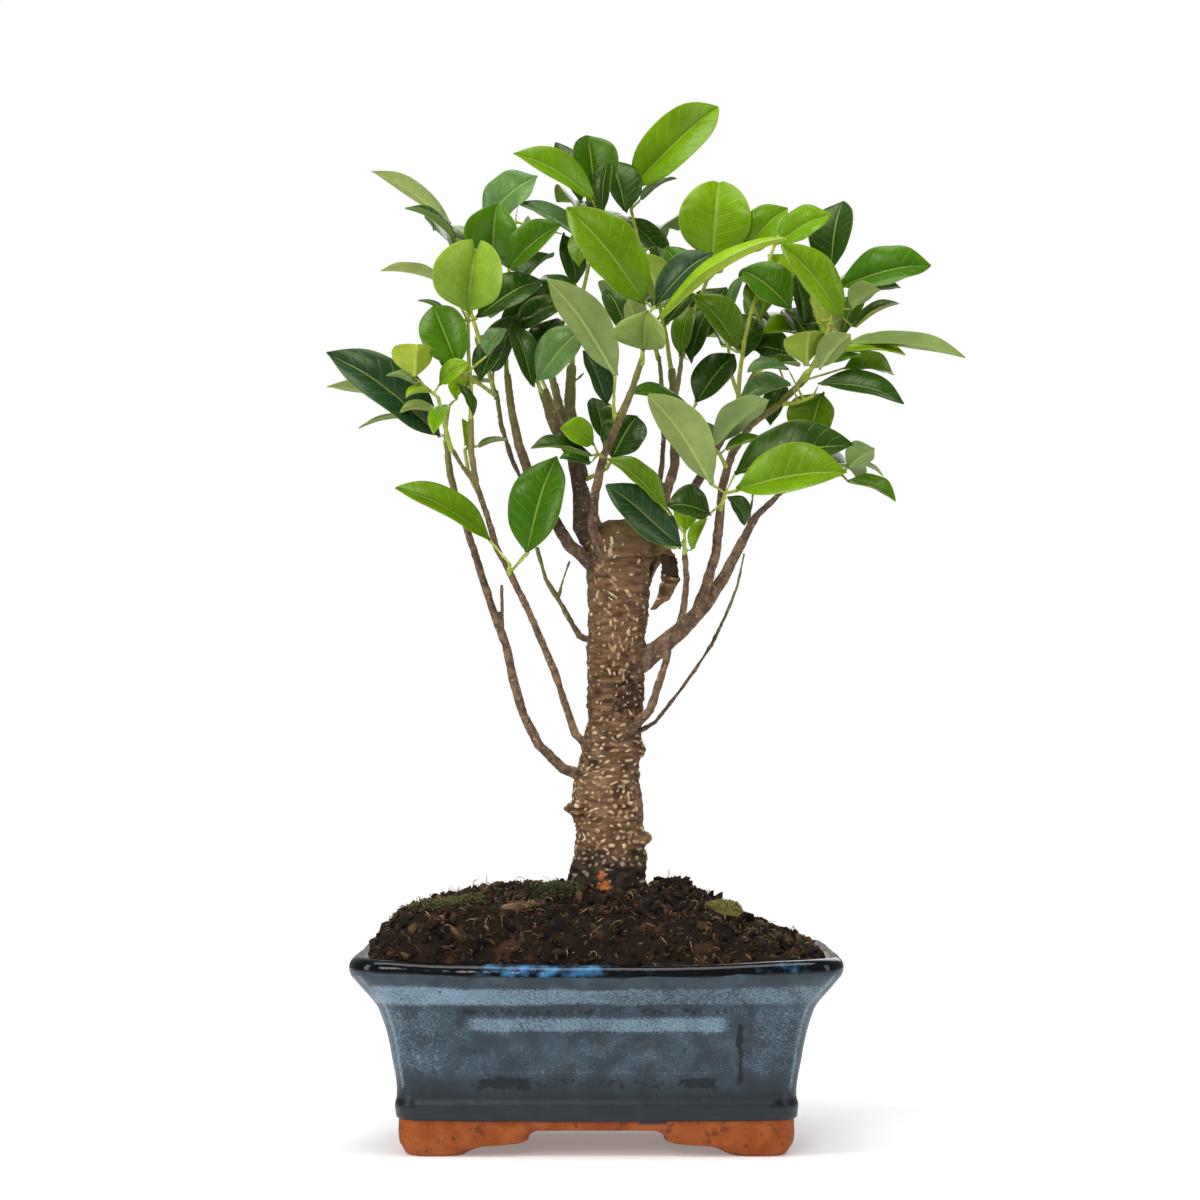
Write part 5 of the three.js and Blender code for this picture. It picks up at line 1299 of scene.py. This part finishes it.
def blade_lines(corners, tip, rings):
    """Middle line, the way to each margin, and the half width, from the measured rings."""
    middles, ways, raised = [], [], []
    for ring in rings:
        four = corners[ring]
        pairs = list(itertools.combinations(range(4), 2))
        one, other = max(pairs, key=lambda pair: np.linalg.norm(four[pair[0]] - four[pair[1]]))
        ribs = [four[i] for i in range(4) if i not in (one, other)]
        middle = sum(ribs) / 2
        arms = np.array([four[one] - middle, four[other] - middle])
        if ways and np.dot(arms[0] - arms[1], ways[0][0] - ways[0][1]) < 0:
            arms = arms[::-1]
        middles.append(middle)
        ways.append(arms)
        raised.append((four[one] + four[other]) / 2 - middle)
    levels = RING_AT[-len(rings) :]
    foot = middles[0] - (middles[1] - middles[0]) * levels[0] / (levels[1] - levels[0])
    line = [foot, *middles, corners[tip]]
    half = max(np.linalg.norm(arms, axis=1).mean() for arms in ways)
    ways = [unit(arms) for arms in ways]
    ways = [ways[0], *ways, ways[-1]]
    return np.array([0.0, *levels, 1.0]), np.array(line), np.array(ways), half, raised[-3]


# %% One blade
ACROSS = np.array([0, 0.05, 0.12, 0.22, 0.36, 0.52, 0.68, 0.82, 0.92, 0.98, 1.0])
SIDE = np.concatenate([-ACROSS[:0:-1], ACROSS])  # from one margin, over the midrib, to the other
FOOT_STEPS = np.linspace(0, 0.12, 4)[:-1]
ALONG = np.concatenate([FOOT_STEPS, np.linspace(0.12, 0.88, 15), [0.92, 0.955, 0.98, 0.995]])
BLADE_THICKNESS = 0.34


def outline(at, blunt):
    """Half width of the blade as a share of its widest, wedge-shaped at the foot and pointed at the tip."""
    power = 0.64 + 0.3 * (1 - eased(at, 0, 0.3)) + (0.3 - blunt) * eased(at, 0.7, 1.0)
    widest_late = at ** (1 + 0.25 * blunt)
    return np.maximum(4 * widest_late * (1 - widest_late), 1e-4) ** power


def blade(knots, line, ways, half, up, rng, blunt, notch=0.0):
    """Points, faces and paint of one thin blade."""
    middle = through(ALONG, line, knots)
    ahead = unit(np.gradient(middle, ALONG, axis=0))
    arm = [unit(through(ALONG, ways[:, side], knots)) for side in (0, 1)]
    top = np.cross(ahead, unit(arm[0] - arm[1]))
    top = unit(top if np.dot(top[len(top) // 2], up) > 0 else -top)
    width = half * outline(ALONG, blunt)

    waves, phase = rng.uniform(1.2, 2.6), rng.uniform(0, 6.28, 2)
    ripple = rng.uniform(0.01, 0.035) * half * 2
    bulge = rng.uniform(0.04, 0.1)
    fold = rng.uniform(0.04, 0.34)
    droop = rng.uniform(0.02, 0.22) * half * eased(ALONG, 0.62, 1.0)
    rows = []
    for side in SIDE:
        arms = arm[0] if side < 0 else arm[1]
        reach = abs(side)
        wave = ripple * reach**2 * np.sin(6.28 * waves * ALONG + phase[int(side > 0)])
        lift = wave + bulge * width * 4 * reach * (1 - reach) + fold * width * reach - droop
        forward = notch * half * (reach**1.3 - 0.6) * eased(ALONG, 0.3, 1.0)
        row = middle + arms * (width * reach)[:, None] + top * lift[:, None]
        rows.append(row + ahead * forward[:, None])
    sheet = np.stack(rows, 1)

    across = np.gradient(sheet, axis=1)
    forward = np.gradient(sheet, axis=0)
    facing = unit(np.cross(forward, across))
    if np.sum(facing[len(ALONG) // 2, len(SIDE) // 2] * top[len(ALONG) // 2]) < 0:
        facing = -facing
    off = np.abs(SIDE) * np.maximum(width, 0.3)[:, None]  # distance from the midrib
    rib = np.exp(-((off / (0.34 + 0.3 * (1 - ALONG)[:, None])) ** 2))
    swell = (0.12 + 0.62 * (1 - ALONG) ** 1.3)[:, None] * rib
    edge = np.sqrt(np.clip(1 - np.abs(SIDE) ** 8, 0.05, 1))
    upper = sheet + facing * (BLADE_THICKNESS / 2 * edge - 0.10 * rib)[..., None]
    lower = sheet - facing * (BLADE_THICKNESS / 2 * edge + swell)[..., None]
    rings = np.concatenate([upper, lower[:, ::-1]], 1)
    points, faces = loft(rings)

    loop = np.concatenate([SIDE, SIDE[::-1]])
    is_top = np.concatenate([np.ones(len(SIDE)), np.zeros(len(SIDE))])
    paint = {
        "along": np.repeat(ALONG, len(loop)),
        "across": np.tile(loop, len(ALONG)),
        "topside": np.tile(is_top, len(ALONG)),
    }
    return points, faces, paint


# %% [markdown]
# ## Leaves: colour
#
# Young leaves are a fresh yellow-green, old ones a deep blue-green, and the undersides are pale and dull.
# Each leaf gets a tone of its own, named from the left to the right of its shoot. The tone is painted
# into the points of its mesh, a paler one on the underside, and one material then adds what all leaves
# share: the midrib, side veins that run towards the margin, a fine mottle and a waxy coat. Some light
# shines through, which a second, translucent shader lets happen.

# %% Tones
# For each tone: upper side, underside.
TONES = {
    "fresh": ("#6e9a00", "#98b22a"),
    "lime": ("#8cb208", "#adc240"),
    "round": ("#76a000", "#9bb62c"),
    "heart": ("#86a636", "#a4b552"),
    "green": ("#437404", "#789a2e"),
    "deep": ("#294d0a", "#60802a"),
    "blue": ("#284a2c", "#5e7c4a"),
    "olive": ("#567c10", "#8ca03a"),
    "silver": ("#5c8048", "#8ba466"),
    "pale": ("#829a50", "#93a663"),
}
SHOOT_TONES = {
    "shoot_cup": "pale lime lime fresh",
    "shoot_far_left": "pale blue pale pale fresh lime",
    "shoot_left_fold": "pale deep deep deep heart deep",
    "shoot_left_inner": "green olive deep pale deep silver deep",
    "shoot_left_crest": "pale deep deep green deep silver",
    "shoot_green_pair": "fresh green",
    "shoot_thin_left": "lime pale",
    "shoot_left_streak": "deep green deep deep deep silver",
    "shoot_inner_pair": "deep deep silver",
    "shoot_top_middle": "fresh green deep deep olive green deep deep deep",
    "shoot_front_fan": "fresh deep pale olive pale deep blue lime",
    "shoot_top_right": "deep deep deep deep silver deep fresh",
    "shoot_round_leaf": "green olive deep round deep silver deep fresh",
    "shoot_right_bough": "olive deep green lime olive deep fresh",
    "shoot_right_arch": "fresh deep deep green deep deep olive pale olive deep green",
    "shoot_right_fan": "olive pale green olive lime pale",
    "shoot_right_glossy": "silver silver olive deep",
    "shoot_right_inner": "deep deep deep fresh olive deep",
    "shoot_low_dark": "pale deep deep fresh deep",
    "shoot_low_outer": "deep silver pale olive",
    "shoot_stump_side": "blue olive lime lime",
    "shoot_middle_right": "green deep",
    "shoot_brown_side": "silver olive silver",
    "shoot_middle_low": "deep green fresh",
    "shoot_middle_dark": "deep deep",
    "shoot_middle_front": "pale blue",
}
BACK_TONES = "deep green deep olive deep"

# %% Leaf finish
leaf_finish, tree, place = new_finish("leaf")
along, across, topside = kept(tree, "along"), kept(tree, "across"), kept(tree, "topside")
reach = sums(tree, "ABSOLUTE", across)
wander = sums(tree, "MULTIPLY", grain(tree, place, 5), 0.12)
VEINS = 9  # on each side
vein_phase = sums(tree, "MULTIPLY_ADD", along, VEINS, sums(tree, "MULTIPLY", reach, -1.7))
vein_phase = sums(tree, "ADD", vein_phase, wander)
vein_off = sums(tree, "ABSOLUTE", sums(tree, "SUBTRACT", sums(tree, "FRACT", vein_phase), 0.5))
vein = sums(tree, "MULTIPLY", ramp(tree, vein_off, 0.42, 0.5), ramp(tree, reach, 0.97, 0.8))
midrib = ramp(tree, reach, 0.06, 0.015)
mottle = grain(tree, place, 2.2, 2)
patches = grain(tree, place, 14, 2)
base = kept_colour(tree, "tone")
fine_shade = ramp(tree, mottle, 0.3, 0.7, 0.94, 1.06)
shade = sums(tree, "MULTIPLY", fine_shade, ramp(tree, patches, 0.3, 0.7, 0.86, 1.12))
less_blue = sums(tree, "MULTIPLY", shade, 0.9)
shade_colour = node(tree, "CombineColor", {0: shade, 1: shade, 2: less_blue}).outputs[0]
base = mixed(tree, 1.0, base, shade_colour, "MULTIPLY")
base = mixed(tree, sums(tree, "MULTIPLY", vein, 0.1), base, colour("#b4c95c"))
base = mixed(tree, sums(tree, "MULTIPLY", midrib, 0.45), base, colour("#bdd06a"))
base = mixed(tree, ramp(tree, reach, 0.95, 1.0, 0.0, 0.3), base, colour("#c2cf62"))
height = sums(tree, "MULTIPLY", sums(tree, "ADD", vein, patches), sums(tree, "MULTIPLY", topside, -1.0))
leaf_bump = relief(tree, height, 0.06)
leaf_rough = ramp(tree, topside, 0.0, 1.0, 0.55, 0.27)
leaf_rough = sums(tree, "ADD", leaf_rough, ramp(tree, mottle, 0.3, 0.7, -0.05, 0.05))
waxy = node(
    tree,
    "BsdfPrincipled",
    {
        "Base Color": base,
        "Roughness": leaf_rough,
        "Normal": leaf_bump,
        "Specular IOR Level": 0.4,
        "Specular Tint": (0.9, 1.0, 0.6, 1),
    },
)
glow_colour = mixed(tree, 1.0, base, (1.0, 1.0, 0.45, 1), "MULTIPLY")
glowing = node(tree, "BsdfTranslucent", {"Color": glow_colour, "Normal": leaf_bump})
both = node(tree, "MixShader", {0: 0.2, 1: waxy.outputs[0], 2: glowing.outputs[0]})
node(tree, "OutputMaterial", {"Surface": both.outputs[0]})
print("leaf tones:", ", ".join(TONES))

# %% Green stem finish
stem_finish, tree, place = new_finish("green_stem")
stem_streak = node(tree, "Mapping", {"Vector": place, "Scale": (1, 1, 0.25)}).outputs[0]
stem_grain = grain(tree, stem_streak, 0.8, 4)
stem_colour = mixed(tree, ramp(tree, stem_grain, 0.35, 0.7), colour("#8ea02e"), colour("#bcc552"))
woody = ramp(tree, grain(tree, place, 6), 0.45, 0.7, 0, 0.45)
stem_colour = mixed(tree, woody, stem_colour, colour("#7f7a38"))
surface(
    tree,
    stem_colour,
    ramp(tree, stem_grain, 0.3, 0.7, 0.38, 0.55),
    relief(tree, stem_grain, 0.12),
)


# %% [markdown]
# ## Shoots
#
# A shoot is a green stem with its leaves. The measured stem and leaf stalks are what remains of the
# measured solid once the blades are taken away. An even skin is wrapped round that rest and ironed
# smooth, which turns five flat sides into a round stem and makes every stalk grow out of it in a soft curve.

# %% Stems
STEM_VOXEL = 0.22


def close_holes(points, faces):
    """The same mesh with a lid on each hole."""
    mesh = bmesh.new()
    corners = [mesh.verts.new(point) for point in points]
    for face in faces:
        mesh.faces.new([corners[i] for i in face])
    loose = [corner for corner in mesh.verts if not corner.link_faces]
    bmesh.ops.delete(mesh, geom=loose, context="VERTS")
    bmesh.ops.holes_fill(mesh, edges=mesh.edges[:], sides=0)
    bmesh.ops.triangulate(mesh, faces=mesh.faces[:])
    mesh.verts.index_update()
    closed = [[corner.index for corner in face.verts] for face in mesh.faces]
    places = np.array([corner.co[:] for corner in mesh.verts])
    mesh.free()
    return places, closed


def stem_of(corners, triangles, blades):
    """A round skin over the stem and the leaf stalks."""
    in_blade = np.zeros(len(corners), bool)
    for tip, rings in blades:
        in_blade[[tip, *itertools.chain(*rings)]] = True
    rest = triangles[~in_blade[triangles].any(axis=1)]
    points, faces = close_holes(corners, rest)
    points, quads = even_skin(points, faces, STEM_VOXEL)
    points = relax(points, quads, 5)
    outward = normals_of(points, quads)
    points += outward * (-0.08 + 0.06 * lumps(points, 1.1, 3))[:, None]
    return drawn_to(points, outward, fine_wood, 0.7, 0.25), quads


# %% Shoots
def shoot(name, seed):
    """Blades and stem of one shoot, joined in one piece with two finishes."""
    corners, triangles = measured(name)
    blades = blades_of(corners, triangles)
    rng = np.random.default_rng(seed)
    words = SHOOT_TONES.get(name, BACK_TONES).split()
    points, faces, finish = [], [], []
    paint = {"along": [], "across": [], "topside": [], "tone": []}
    start = 0
    for index, (tip, rings) in enumerate(blades):
        knots, line, ways, half, up = blade_lines(corners, tip, rings)
        word = words[index % len(words)]
        blunt = {"heart": 0.4, "round": 0.42}.get(word, rng.uniform(-0.1, 0.15))
        notch = {"heart": 0.32, "round": 0.04}.get(word, 0.0)
        made, squares, marks = blade(knots, line, ways, half, up, rng, blunt, notch)
        upper, under = (np.array(colour(code)[:3]) for code in TONES[word])
        own = rng.uniform(0.88, 1.12) * rng.uniform(0.95, 1.05, 3)
        warm = 1 + 0.18 * (marks["along"] - 0.5)[:, None] * np.array([1, 0.5, 0])
        tone = np.where(marks["topside"][:, None] > 0.5, upper, under) * own * warm
        points.append(made)
        faces += [[corner + start for corner in square] for square in squares]
        finish += [0] * len(squares)
        start += len(made)
        for key in ("along", "across", "topside"):
            paint[key].append(marks[key])
        paint["tone"].append(tone)
    stem, quads = stem_of(corners, triangles, blades)
    points.append(stem)
    faces += (quads + start).tolist()
    finish += [1] * len(quads)
    for key in ("along", "across", "topside"):
        paint[key].append(np.zeros(len(stem)))
    paint["tone"].append(np.tile(np.array(colour("#9aad3a")[:3]), (len(stem), 1)))
    paint = {key: np.concatenate(values) for key, values in paint.items()}
    finishes = [leaf_finish, stem_finish]
    made = piece(name, np.concatenate(points), faces, finishes, paint, finish)
    return made, len(blades)


leaf_count = 0
shoot_names = sorted(name for name in frame["nodes"] if name.startswith("shoot_"))
for seed, name in enumerate(shoot_names):
    leaf_count += shoot(name, seed)[1]
print(len(shoot_names), "shoots with", leaf_count, "leaves")
